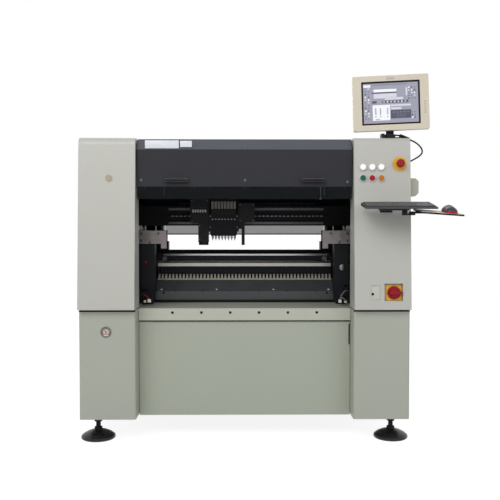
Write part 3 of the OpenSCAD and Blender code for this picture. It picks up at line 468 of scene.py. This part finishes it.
def add_lathe(bm, profile, segments, m, index=0):
    """A turned form about Z from (radius, z) points, added to a bmesh."""
    rings = []
    for r, z in profile:
        if r < 1e-6:
            rings.append([bm.verts.new((0, 0, z))])
        else:
            rings.append([
                bm.verts.new((r * math.cos(2 * math.pi * k / segments),
                              r * math.sin(2 * math.pi * k / segments), z))
                for k in range(segments)
            ])
    faces = []
    for a, b in zip(rings, rings[1:]):
        for k in range(segments):
            j = (k + 1) % segments
            quad = [a[k % len(a)], a[j % len(a)], b[j % len(b)], b[k % len(b)]]
            quad = list(dict.fromkeys(quad))
            if len(quad) > 2:
                faces.append(bm.faces.new(quad))
    for ring in (rings[0], rings[-1]):
        if len(ring) > 1:
            faces.append(bm.faces.new(ring))
    for f in faces:
        f.material_index = index
    bmesh.ops.transform(bm, matrix=m, verts=[v for r in rings for v in r])


def along_axis(point, direction):
    """Puts a turned form's Z along a direction, with its zero at a point."""
    q = Vector(direction).to_track_quat("Z", "Y")
    return Matrix.Translation(point) @ q.to_matrix().to_4x4()


def turned(name, profile, places, mats, body, at=MACHINE, *, segments):
    """The same turned form at several (point, direction) places, in one piece."""
    bm = bmesh.new()
    for point, direction in places:
        add_lathe(bm, profile, segments, along_axis(point, direction))
    finished(name, bm, mats, body, at, 35)


def smooth_path(points):
    """A smooth line through the points, with five points for each of them."""
    per = 5
    pts = [Vector(p) for p in points]
    ext = [2 * pts[0] - pts[1]] + pts + [2 * pts[-1] - pts[-2]]
    out = []
    for i in range(1, len(ext) - 2):
        a, b, c, d = ext[i - 1:i + 3]
        for k in range(per):
            t = k / per
            out.append(0.5 * (2 * b + (c - a) * t + (2 * a - 5 * b + 4 * c - d) * t * t
                              + (3 * b - a - 3 * c + d) * t ** 3))
    out.append(pts[-1])
    return out


def add_tube(bm, points, radius, sides, index=0):
    """A round tube along a line, with closed ends."""
    up = Vector((0, 0, 1))
    first = (points[1] - points[0]).normalized()
    if abs(first.dot(up)) > 0.9:
        up = Vector((0, 1, 0))
    side = first.cross(up).normalized()
    rings = []
    for i, p in enumerate(points):
        d = (points[min(i + 1, len(points) - 1)] - points[max(i - 1, 0)]).normalized()
        side = (side - d * side.dot(d)).normalized()
        other = d.cross(side)
        rings.append([
            bm.verts.new(p + radius * (math.cos(2 * math.pi * k / sides) * side
                                       + math.sin(2 * math.pi * k / sides) * other))
            for k in range(sides)
        ])
    faces = [bm.faces.new(rings[0]), bm.faces.new(rings[-1])]
    for a, b in zip(rings, rings[1:]):
        for k in range(sides):
            j = (k + 1) % sides
            faces.append(bm.faces.new((a[k], a[j], b[j], b[k])))
    for f in faces:
        f.material_index = index


def tubes(name, runs, mats, body, at=MACHINE, sides=12):
    """Several hoses or wires in one piece: each is (points, radius, material index)."""
    bm = bmesh.new()
    for run in runs:
        add_tube(bm, smooth_path(run[0]), run[1], sides, run[2] if len(run) > 2 else 0)
    finished(name, bm, mats, body, at, 60)


# ---------------------------------------------------------------- camera and lights
# The camera that the photograph's perspective was fitted to
CAMERA_AT = (-6, -3600, 1081)
CAMERA_PITCH = -1.748
CAMERA_YAW = -0.516
LENS = 51.91
SENSOR = 36
FAR = 2000

cam = bpy.data.objects.new("camera", bpy.data.cameras.new("camera"))
bpy.context.scene.collection.objects.link(cam)
cam.location = P(*CAMERA_AT)
cam.rotation_euler = (math.radians(90 + CAMERA_PITCH), 0, math.radians(CAMERA_YAW))
cam.data.lens = LENS
cam.data.sensor_width = SENSOR
cam.data.clip_end = FAR
bpy.context.scene.camera = cam
bpy.context.scene.view_settings.view_transform = "Standard"


def area_light(name, place_mm, target_mm, size, power):
    data = bpy.data.lights.new(name, "AREA")
    data.shape = "RECTANGLE"
    data.size, data.size_y = size
    data.energy = power
    obj = bpy.data.objects.new(name, data)
    bpy.context.scene.collection.objects.link(obj)
    obj.location = P(*place_mm)
    obj.rotation_euler = (P(*target_mm) - obj.location).to_track_quat("-Z", "Y").to_euler()


KEY_WATTS = 82
FILL_WATTS = 23
BACK_WATTS = 48
area_light("key_light", (-1500, -3200, 3600), (0, 0, 1000), (3.0, 2.0), KEY_WATTS)
area_light("fill_light", (2600, -3000, 2400), (0, 200, 900), (2.5, 2.5), FILL_WATTS)
area_light("back_light", (0, 4200, 3000), (0, 1200, 1000), (3.0, 2.0), BACK_WATTS)

# What the world and the floor give to the machine, and how bright the floor looks
SKY_LIGHT = 0.42
FLOOR_GREY = 0.82
FLOOR_SEEN = 0.32
FLOOR_GLOW = 0.88
FLOOR_SIZE = 400

world = bpy.data.worlds.new("studio")
bpy.context.scene.world = world
world.use_nodes = True
wt = world.node_tree
wt.nodes.clear()


def seen_directly(tree):
    """1 where the eye, a mirror or glass looks straight at it, 0 for the light it gives."""
    path = node(tree, "ShaderNodeLightPath")
    total = path.outputs["Is Camera Ray"]
    for more in ("Is Glossy Ray", "Is Transmission Ray"):
        n = node(tree, "ShaderNodeMath", operation="MAXIMUM")
        tree.links.new(total, n.inputs[0])
        tree.links.new(path.outputs[more], n.inputs[1])
        total = n.outputs[0]
    return total


soft = node(wt, "ShaderNodeBackground", Color=(0.95, 0.97, 1, 1), Strength=SKY_LIGHT)
white = node(wt, "ShaderNodeBackground", Color=(1, 1, 1, 1), Strength=1.0)
mix = node(wt, "ShaderNodeMixShader")
wt.links.new(seen_directly(wt), mix.inputs[0])
wt.links.new(soft.outputs[0], mix.inputs[1])
wt.links.new(white.outputs[0], mix.inputs[2])
wt.links.new(mix.outputs[0], node(wt, "ShaderNodeOutputWorld").inputs["Surface"])

bm = bmesh.new()
bmesh.ops.create_grid(bm, x_segments=1, y_segments=1, size=FLOOR_SIZE)
floor_mesh = bpy.data.meshes.new("floor")
bm.to_mesh(floor_mesh)
bm.free()
floor = bpy.data.objects.new("floor", floor_mesh)
bpy.context.scene.collection.objects.link(floor)
floor.location.z = -0.0005  # just under the feet
fm = bpy.data.materials.new("floor_white")
fm.use_nodes = True
ft = fm.node_tree
ft.nodes.clear()
flat = node(ft, "ShaderNodeBsdfDiffuse", Color=(*[FLOOR_GREY] * 3, 1))
faint = node(ft, "ShaderNodeBsdfDiffuse", Color=(*[FLOOR_SEEN] * 3, 1))
lift = node(ft, "ShaderNodeEmission", Color=(1, 1, 1, 1), Strength=FLOOR_GLOW)
both = node(ft, "ShaderNodeAddShader")
ft.links.new(faint.outputs[0], both.inputs[0])
ft.links.new(lift.outputs[0], both.inputs[1])
fmix = node(ft, "ShaderNodeMixShader")
ft.links.new(seen_directly(ft), fmix.inputs[0])
ft.links.new(flat.outputs[0], fmix.inputs[1])
ft.links.new(both.outputs[0], fmix.inputs[2])
ft.links.new(fmix.outputs[0], node(ft, "ShaderNodeOutputMaterial").inputs["Surface"])
floor_mesh.materials.append(fm)

# ---------------------------------------------------------------- screws and plates
FRONT = Vector((0, -1, 0))
BACK = Vector((0, 1, 0))
UP = Vector((0, 0, 1))
TREES = {}
# Where the looks of surface() start, clear of the machine, in machine millimetres
BEFORE = -900
BEHIND = 2400
BESIDE = 1200
ABOVE = 2000


def to_mm(v):
    """The machine millimetres of a place in the scene: P the other way round."""
    return Vector(((v.x - MID_X) * 1000, (v.y - FRONT_Y) * 1000, v.z * 1000))


def surface(name, across, height, look=BACK):
    """The place and outward normal where a look along an axis first meets a CAD node.

    The two values are X and Z for a look from the front or from behind, Y and Z for a
    look from a side, and X and Y for a look down."""
    if name not in TREES:
        TREES[name] = BVHTree.FromObject(NODES[name], bpy.context.evaluated_depsgraph_get())
    if abs(look.z) > 0.5:
        origin = P(across, height, ABOVE)
    elif abs(look.x) > 0.5:
        origin = P(-BESIDE * look.x, across, height)
    else:
        origin = P(across, BEFORE if look.y > 0 else BEHIND, height)
    hit, normal, _, _ = TREES[name].ray_cast(origin, look)
    if hit is None:
        raise RuntimeError(f"nothing of {name} at {across}, {height}")
    return to_mm(hit), (normal if normal.dot(look) < 0 else -normal)


# Outlines (radius, height) of a button head screw and its socket, at a scale of 1
SCREW_HEAD = [(0, 2.2), (4.2, 2.2), (5.4, 1.5), (5.8, 0), (5.8, -0.5), (0, -0.5)]
SOCKET = [(0, 2.4), (2.4, 2.4), (2.4, 1.0), (0, 1.0)]


def screws(name, spots, body, mat, scale, socket=True, at=MACHINE):
    """Button head screws with a driven socket, at (place, outward normal) spots."""
    bm = bmesh.new()
    for point, direction in spots:
        m = along_axis(point, direction)
        add_lathe(bm, [(r * scale, z * scale) for r, z in SCREW_HEAD], 20, m)
        if socket:
            add_lathe(bm, [(r * scale, z * scale) for r, z in SOCKET], 6, m, 1)
    finished(name, bm, [mat, BLACK_PLASTIC], body, at, 30)


DIAL = material("dial_face_finish", srgb(206, 206, 194), 0.4, mottle=0.02, mottle_scale=30,
                specular=0.25)
DARK_STEEL = material("dark_steel_finish", srgb(112, 112, 116), 0.42, metal=0.9, mottle=0.1,
                      mottle_scale=14, grain=0.3, brushed=(0.05, 1, 1))
BRASS = material("brass_finish", srgb(176, 146, 88), 0.32, metal=1.0, mottle=0.08, mottle_scale=30)
RED_WIRE = material("red_wire_finish", srgb(168, 52, 40), 0.4, mottle=0.05, mottle_scale=60)
GREY_WIRE = material("grey_wire_finish", srgb(128, 128, 126), 0.45, mottle=0.06, mottle_scale=60)

screws("hood_screws", [surface("hood_shell", x, z) for x, z in
       ((-521, 1322), (2, 1321), (519, 1313), (-521, 1495), (2, 1494), (519, 1494))],
       "front_hood", DARK_STEEL, 1.15)
boxes("hood_plates", [((-501, -331), (38.7, 40.3), (1481, 1521)),
                      ((-325, -265), (38.8, 40.3), (1487, 1519), 1)],
      [LABEL_WHITE, LABEL_GREY], "front_hood", bevel=0.5)
handle_y = [surface("hood_shell", x, 1318)[0].y for x in (-344, 344)]
# Along each grab handle: a dark strip in its slot, which is painted shade, and a pale strip on its
# top, a painted highlight that is brighter on the left handle.
boxes("handle_shade_and_highlights", [
    ((-400, -288), (handle_y[0] - 0.5, handle_y[0] + 1), (1312, 1323), 0),
    ((-396, -292), (handle_y[0] - 0.7, handle_y[0] + 1), (1325, 1330), 1),
    ((288, 400), (handle_y[1] - 0.5, handle_y[1] + 1), (1312, 1323), 0),
    ((292, 396), (handle_y[1] - 0.7, handle_y[1] + 1), (1325, 1328), 2),
], [LINER, LABEL_GREY, GREY_WIRE], "front_hood", bevel=0.3)
boxes("window_trims", [((-535, 535), (40.4, 42.3), (1286, 1291)),
                       ((382, 384), (40.6, 42.3), (1231, 1286), 1),
                       ((380, 386), (40.2, 42.3), (1226, 1232), 2)],
      [LINER, GREY_WIRE, LABEL_WHITE], "front_hood", bevel=0.4)
PANE_SCREWS = (-505, -253, 0, 253, 505)
screws("window_screws", [surface("hood_window", x, 1280) for x in PANE_SCREWS],
       "front_hood", LINER, 0.8)
screws("rear_window_screws", [surface("rear_hood", x, 1280, FRONT) for x in PANE_SCREWS]
       + [surface("rear_hood", x, 1039, FRONT) for x in PANE_SCREWS[::2]], "back_hood", LINER, 0.9)
screws("top_cover_screws", [surface("top_cover", x, y, -UP) for x in (-500, -180, 180, 500)
       for y in (455, 953)], "machine", ZINC, 0.9)

# ---------------------------------------------------------------- side covers
for side, look in (("left", Vector((1, 0, 0))), ("right", Vector((-1, 0, 0)))):
    screws(f"{side}_upper_screws", [surface(f"{side}_upper_cover", y, z, look)
           for y in (40, 704, 1368) for z in (720, 1440)], "machine", ZINC, 1.1)
    screws(f"{side}_lower_screws", [surface(f"{side}_lower_cover", y, z, look)
           for y in (30, 1378) for z in (150, 640)], "machine", ZINC, 1.1)
    latches = [surface(f"{side}_lower_cover", y, 400, look) for y in (660, 748)]
    turned(f"{side}_door_latches",
           [(0, 2.5), (9, 2.5), (10.5, 5), (12.5, 5), (14, 3.5), (14.5, -1), (0, -1)],
           latches, ZINC, "machine", segments=40)
    bm = bmesh.new()
    for point, direction in latches:
        add_box(bm, (-7, -1.6, 1.5), (7, 1.6, 4.6), 0.5, 2, 0, along_axis(point, direction))
    finished(f"{side}_latch_slots", bm, BLACK_PLASTIC, "machine", smooth=40)
lower_back = [surface("lower_panels", x, z, FRONT) for x in (-500, 0, 500) for z in (150, 570)]
screws("rear_panel_screws", lower_back, "machine", ZINC, 1.1)
# Dark strips along the front tops of the lower covers: painted shade of the seam gap under the
# overhang of the upper covers.
boxes("cover_seam_shade", [(x, (-0.4, 6), (661, 669)) for x in ((-829, -548), (548, 829))], LINER,
      "machine", bevel=0.3)
dial = surface("cover_fittings", -694, 561)[0]
turned("gauge_ring", [(22, 0.5), (22.5, 1.6), (24, 2.4), (25.5, 2.4), (27, 1.2), (27.2, -1)],
       [(dial, FRONT)], RAIL_DARK, "machine", segments=48)
turned("gauge_dial", [(0, 0.8), (21.5, 0.8), (22, 0.4), (22, -0.4), (0, -0.4)], [(dial, FRONT)],
       DIAL, "machine", segments=48)
MARKS = 21
SWEEP = 270
bm = bmesh.new()
for k in range(MARKS):
    turn = Matrix.Rotation(math.radians(SWEEP / (MARKS - 1) * k - SWEEP / 2), 4, "Y")
    add_box(bm, (-0.5, -1.2, 11 if k % 5 == 0 else 13), (0.5, -0.7, 15.5), 0.1, 1, 0, turn)
    # the outer band: green in the middle of the sweep, red on both sides
    add_box(bm, (-1.9, -1.1, 16.5), (1.9, -0.7, 21), 0, 1, 2 if 7 < k < 14 else 1, turn)
needle = Matrix.Rotation(math.radians(-38), 4, "Y")
add_box(bm, (-0.7, -2.2, -6), (0.7, -1.6, 17), 0.2, 1, 0, needle)
add_lathe(bm, [(0, 3), (2.4, 3), (3, 2.2), (3, 0.5), (0, 0.5)], 20, along_axis((0, 0, 0), FRONT))
add_box(bm, (-6, -1.1, -12), (6, -0.7, -8.5), 0.1, 1, 1)
finished("gauge_marks", bm, [BLACK_PLASTIC, RED, GREEN], "machine", place(*dial), 30)
plug = surface("cover_fittings", -677, 1329)
turned("access_plug",
       [(0, 1.4), (9.5, 1.6), (11, 2.8), (13.2, 2.8), (14.8, 1.2), (15.4, -0.6), (0, -0.6)],
       [plug], PLUG, "machine", segments=40)
LOCK = on_face(652.5, 759)
# The pale plate in the lock's pocket, with dark strips along its left and top edges: painted shade
# where the pocket's walls shadow it.
boxes("lock_plate_and_shade", [
    ((-22, 22), (3.2, 4.2), (-35.5, 35.5), 0), ((-22.4, -21), (2.6, 4), (-35.5, 35.5), 1),
    ((-22, 22), (2.6, 4), (34.3, 35.9), 1),
], [DIAL, RAIL_DARK], "machine", LOCK, bevel=0.2)
turned("lock_cylinder",
       [(0, 0.8), (4.6, 0.8), (5, 1.6), (6.2, 1.6), (6.6, 0.8), (6.6, -2), (0, -2)],
       [((-15.5, 3, -7), FRONT)], LINER, "machine", LOCK, segments=32)

# ---------------------------------------------------------------- feeder bay
screws("feeder_cover_screws", [surface("feeder_covers", x, 739) for x in (-462, -156, 161, 467)],
       "machine", WHITE_PLASTIC, 0.9, False)
bm = bmesh.new()
for x in (-388, -232, -79, 79, 236, 393):
    point, normal = surface("feeder_covers", x, 731)
    add_box(bm, (-7, -2.5, -0.2), (7, 2.5, 0.5), 0.3, 2, 0, along_axis(point, normal))
for x in (-449, 457):
    add_lathe(bm, [(0, 0.5), (6, 0.5), (6.4, 0.1), (0, 0.1)], 20,
              along_axis(*surface("feeder_covers", x, 721)))
finished("feeder_cover_slots", bm, LINER, "machine", smooth=40)
boxes("rail_strip", [((-470, 481), (583.0, 584.6), (921, 931))]
      + [((x, x + 4), (582.6, 584), (922, 930), 1) for x in (-395, -352, -228, 84, 310)],
      [ALU, LINER], "machine", bevel=0.4)
screws("casting_bolts", [surface("y_frames", x, z) for x, z in
       ((-556, 1050), (-556, 1012), (-466, 1052), (-512, 1004), (556, 1050), (556, 1012),
        (466, 1052), (512, 1004))], "machine", DARK_STEEL, 1.4)
bank = to_mm(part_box("feeder_covers")[0])
# A dark bar under the front of the feeder bank: painted shade for the dark gap between the bank
# and the shelf below.
boxes("bank_foot_shade", [((-494, 494), (bank.y + 1, bank.y + 15), (bank.z - 15, bank.z + 1))],
      LINER, "machine", bevel=1.2)
knob = surface("gantry_posts", 532, 867)
turned("post_knob",
       [(0, 14), (6, 14), (7, 13), (7.4, 6), (12, 5), (16, 4), (17.5, 2), (17.5, -1), (0, -1)],
       [knob], ZINC, "machine", segments=40)
turned("knob_centre", [(0, 14.6), (3.6, 14.6), (4, 14), (0, 13.8)], [knob], LINER, "machine",
       segments=24)
turned("knob_ring", [(9, 4.4), (9.2, 5.4), (13.4, 4.9), (13.6, 3.6)], [knob], LINER, "machine",
       segments=40)
turned("lamp_red", [(0, 4), (4, 3.5), (6, 1.5), (6.4, -1), (0, -1)],
       [surface("gantry_posts", -537, 897)], RED, "machine", segments=24)
tubes("corner_wires", [
    ([(-548, 250, 745), (-530, 236, 752), (-508, 222, 742), (-498, 212, 722), (-494, 200, 704)],
     4.5, 0),
    ([(-552, 260, 720), (-536, 232, 728), (-516, 216, 716), (-502, 200, 700)], 3.2, 1),
    ([(-552, 240, 700), (-532, 220, 706), (-510, 206, 696), (-500, 196, 690)], 3.2, 0),
    ([(552, 260, 770), (536, 236, 772), (516, 222, 752), (506, 214, 724), (503, 206, 700)],
     4.5, 0),
    ([(552, 250, 745), (534, 226, 744), (514, 216, 724), (505, 204, 698)], 3.4, 2),
    ([(552, 240, 716), (532, 222, 716), (512, 210, 704), (504, 200, 692)], 3.4, 0),
    ([(498, 200, 694), (508, 190, 712), (524, 188, 708), (536, 196, 694)], 2.8, 2),
], [JACKET, RED_WIRE, GREY_WIRE], "machine")
boxes("corner_connectors", [
    ((-512, -494), (192, 206), (688, 706), 0), ((-534, -520), (200, 214), (686, 700), 1),
    ((496, 512), (192, 206), (686, 702), 0), ((526, 542), (196, 210), (684, 698), 2),
], [WHITE_PLASTIC, BRASS, BLACK_PLASTIC], "machine", bevel=1.5)

# ---------------------------------------------------------------- gantry and head
HEAD_X = to_mm(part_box("head_carriage")[0]).x / 2 + to_mm(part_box("head_carriage")[1]).x / 2
PITCH = 18  # between two spindles
SPINDLE_DX = [(k - (SPINDLES - 1) / 2) * PITCH for k in range(SPINDLES)]
SPINDLE_Y = 536
screws("head_screws", [surface("head_carriage", HEAD_X + dx, z) for dx in (-76, 76)
       for z in (1086, 1148)], "head", DARK_STEEL, 0.9)
bm = bmesh.new()
for dx in SPINDLE_DX:
    x = HEAD_X + dx
    add_box(bm, (x - 4, 498.8, 1128), (x + 4, 500.4, 1133), 0.3, 2, 0)
    add_box(bm, (x - 5.5, 519.5, 1196), (x + 5.5, 523.2, 1226), 0.8, 2, 1)
    add_lathe(bm, [(0, 8), (3, 8), (3.6, 7), (3.6, -1), (0, -1)], 16,
              along_axis((x, SPINDLE_Y, 1250), UP), 2)
finished("head_connectors", bm, [LABEL_GREY, WHITE_PLASTIC, BRASS], "head", smooth=35)
# each air line rises from its spindle and bends back, a little towards the middle
tubes("head_air_lines", [
    ([(HEAD_X + dx, SPINDLE_Y, 1257), (HEAD_X + dx, 538, 1268), (HEAD_X + dx * 0.9, 552, 1276),
      (HEAD_X + dx * 0.8, 572, 1270), (HEAD_X + dx * 0.7, 586, 1255)], 2.0, k % 2)
    for k, dx in enumerate(SPINDLE_DX)
], [JACKET, GREY_WIRE], "head", sides=8)
screws("valve_box_screws", [surface("head_side_units", x, z) for x, z in
       ((-300, 1238), (-213, 1238), (-300, 1118), (-25, 1215), (50, 1215), (-25, 1123), (50, 1123),
        (-256, 1094), (-256, 1014))], "head", DARK_STEEL, 0.7)
bm = bmesh.new()
for x in range(-297, -226, 14):  # six valves, each with its lamp
    add_box(bm, (x, 506.2, 1170), (x + 9, 508.3, 1186), 0.6, 2, 0)
    add_lathe(bm, [(0, 1.2), (1.6, 1.2), (2, -0.5), (0, -0.5)], 12,
              along_axis((x + 4.5, 508, 1196), FRONT), 1)
finished("valve_row", bm, [LABEL_GREY, GREEN], "head", smooth=35)
bm = bmesh.new()
for x in range(-392, 389, 30):  # the links of the chain, each with its joint
    add_box(bm, (x, 640, 1212), (x + 25, 690, 1234), 3, 2, 0)
    add_box(bm, (x + 22, 646, 1217), (x + 33, 684, 1229), 1, 1, 0)
finished("cable_chain", bm, BLACK_PLASTIC, "gantry", smooth=40)
boxes("scale_dashes", [((x, x + 15), (595.2, 596.4), (1148, 1152)) for x in range(-425, 450, 24)],
      LABEL_GREY, "gantry", bevel=0.3)
boxes("cable_duct", [
    ((-560, 560), (700, 704), (1209, 1276)), ((-560, 560), (640, 704), (1209, 1212)),
], BLACK, "gantry", bevel=0.8)
for z in (1117, 1198):
    spots = [surface("x_rails", x, z) for x in range(-430, 460, 30)]
    screws(f"x_rail_screws_{z}", spots, "gantry", LINER, 0.7)

# ---------------------------------------------------------------- monitor
BEZEL_KEY = material("bezel_key_finish", srgb(196, 190, 176), 0.45, mottle=0.03, mottle_scale=30)
BORDER = (-49.6, -48.0)  # depth of the dark border in front of the screen
# The dark border around the picture is painted shade: the bezel's shadow on the screen.
boxes("monitor_border_shade", [
    ((-146.8, 146.8), BORDER, (102.5, 110.8)), ((-146.8, 146.8), BORDER, (-110.8, -102.5)),
    ((-146.8, -138.5), BORDER, (-102.5, 102.5)), ((138.5, 146.8), BORDER, (-102.5, 102.5)),
], LINER, "monitor", MONITOR, bevel=0.3)
boxes("monitor_controls", [
    ((166, 176), (-53.2, -51.8), (-4 - k * 14, 4 - k * 14), 0) for k in range(5)
] + [((-22, 22), (-52.6, -51.8), (117, 132), 1)],
    [BEZEL_KEY, LABEL_WHITE], "monitor", MONITOR, bevel=0.6)
screws("monitor_back_screws", [((x, -16, z), BACK) for x in (-50, 50) for z in (-62, 26)],
       "monitor", ZINC, 0.8, at=MONITOR)
UI_COLOURS = (("pale", (205, 205, 215)), ("white", (235, 235, 240)), ("dark", (70, 72, 90)),
              ("mid", (120, 120, 138)))
UI_MATS = [glowing(f"ui_{tint}_finish", srgb(*rgb), 0.25) for tint, rgb in UI_COLOURS]
# Blank fields of the picture: left, right, foot and top, and the finish in UI_MATS
ui = [(-136, -101, 83, 95, 1), (-95, 84, 92, 96, 3), (-85, 30, 57, 71, 1), (-95, 30, 50, 56, 2),
      (-85, 30, 25, 49, 0), (-30, 62, 16, 28, 0), (76, 84, 35, 75, 0), (-94, -71, 0, 12, 2),
      (-44, 88, 0, 12, 2), (-92, -4, -88, -9, 1), (-2, 101, -18, -8, 0), (0, 53, -34, -23, 0),
      (-2, 101, -80, -37, 2), (-78, -56, -85, -81, 3)]
panes = len(ui)  # what is added after them lies 0.15 mm higher
for r in range(12):
    for c, u in enumerate((-131, -115, 88, 103, 117)):
        pick = (r * 3 + c * 2) % 5
        if c < 2 or r < 5 or r > 8 and c > 2:
            ui.append((u, u + 6 + (r + c) % 3, 72 - r * 14, 79 - r * 14, (3, 2, 0, 3, 1)[pick]))
for k in range(7):
    ui.append((-38 + k * 18, -30 + k * 18, 3, 9, 1 if k % 2 else 0))
for u in (-81, -57, -21):
    ui += [(u, u + 8, v, v + 3, 3) for v in range(-58, -26, 5)] + [(u, u + 8, -70, -66, 3)]
for k in range(5):
    ui += [(8 + 18 * k, 20 + 18 * k, -50, -46, 3),
           (26, 70 + (k * 7) % 12, -76 + k * 5, -75 + k * 5, 3)]
boxes("screen_picture", [
    ((left, right), (-47.4 - 0.15 * (i >= panes), -46.9), (foot, top), pick)
    for i, (left, right, foot, top, pick) in enumerate(ui)
], UI_MATS, "monitor", MONITOR, bevel=0)
turned("cable_gland", [(0, 12), (4.2, 12), (5, 10), (5.4, 2), (7.5, 1), (8, -1), (0, -1)],
       [((768, 160, 1563), (1, 0, 0))], BLACK_PLASTIC, "machine", segments=24)
turned("cable_inlet", [(0, 9), (4.4, 9), (6, 7), (6.5, 2), (9, 1), (9.5, -1), (0, -1)],
       [((830, 121, 1418), (1, 0, 0))], BLACK_PLASTIC, "machine", segments=24)

# ---------------------------------------------------------------- keyboard and mouse
KEY_RISE = 6 / 144
ROWS, ROW_PITCH = 6, 22.3
KEYS, KEY_PITCH = 18, 18.2
bm = bmesh.new()
for row in range(ROWS):
    y = 9 + row * ROW_PITCH
    for k in range(KEYS):
        m = (Matrix.Translation((8 + k * KEY_PITCH, y, 8 + y * KEY_RISE))
             @ Matrix.Rotation(math.atan(KEY_RISE), 4, "X"))
        wide = 2.5 + (row * 7 + k * 5) % 4
        add_box(bm, (4, 8, 6.3), (4 + wide, 12, 6.75), 0, 1, 0, m)
finished("key_marks", bm, LABEL_GREY, "keyboard_swing", KEYBOARD)
turned("mouse_wheel", [(0, 3), (7.5, 3), (9, 2), (9, -2), (7.5, -3), (0, -3)],
       [((150, 14, 34), (1, 0, 0))], BLACK_PLASTIC, "tray", TRAY, segments=28)
MOUSE_ARC = 34.2  # radius of the mouse's back
arc = [math.radians(a) for a in range(96, 20, -6)]
tubes("mouse_split", [([(150, 2 + MOUSE_ARC * math.cos(a), 10 + MOUSE_ARC * math.sin(a))
                        for a in arc], 0.6)], LINER, "tray", TRAY, 8)

# ---------------------------------------------------------------- monitor cable
CABLE = [
    (768, 160, 1563), (776, 160, 1563), (785, 158, 1563), (795, 155, 1562), (804, 151, 1560),
    (828, 146, 1549), (852, 141, 1538), (862, 139, 1534), (876, 136, 1527), (889, 133, 1518),
    (901, 130, 1507), (910, 127, 1495), (915, 125, 1483), (915, 123, 1471), (909, 122, 1460),
    (898, 121, 1450), (884, 121, 1441), (868, 121, 1432), (853, 121, 1424), (841, 121, 1418),
    (830, 121, 1418),
]
line = smooth_path(CABLE)
bm = bmesh.new()
add_tube(bm, line, 4, 14)
cable = finished("signal_cable", bm, JACKET, "machine", MACHINE, 60)
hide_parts("monitor_cable")
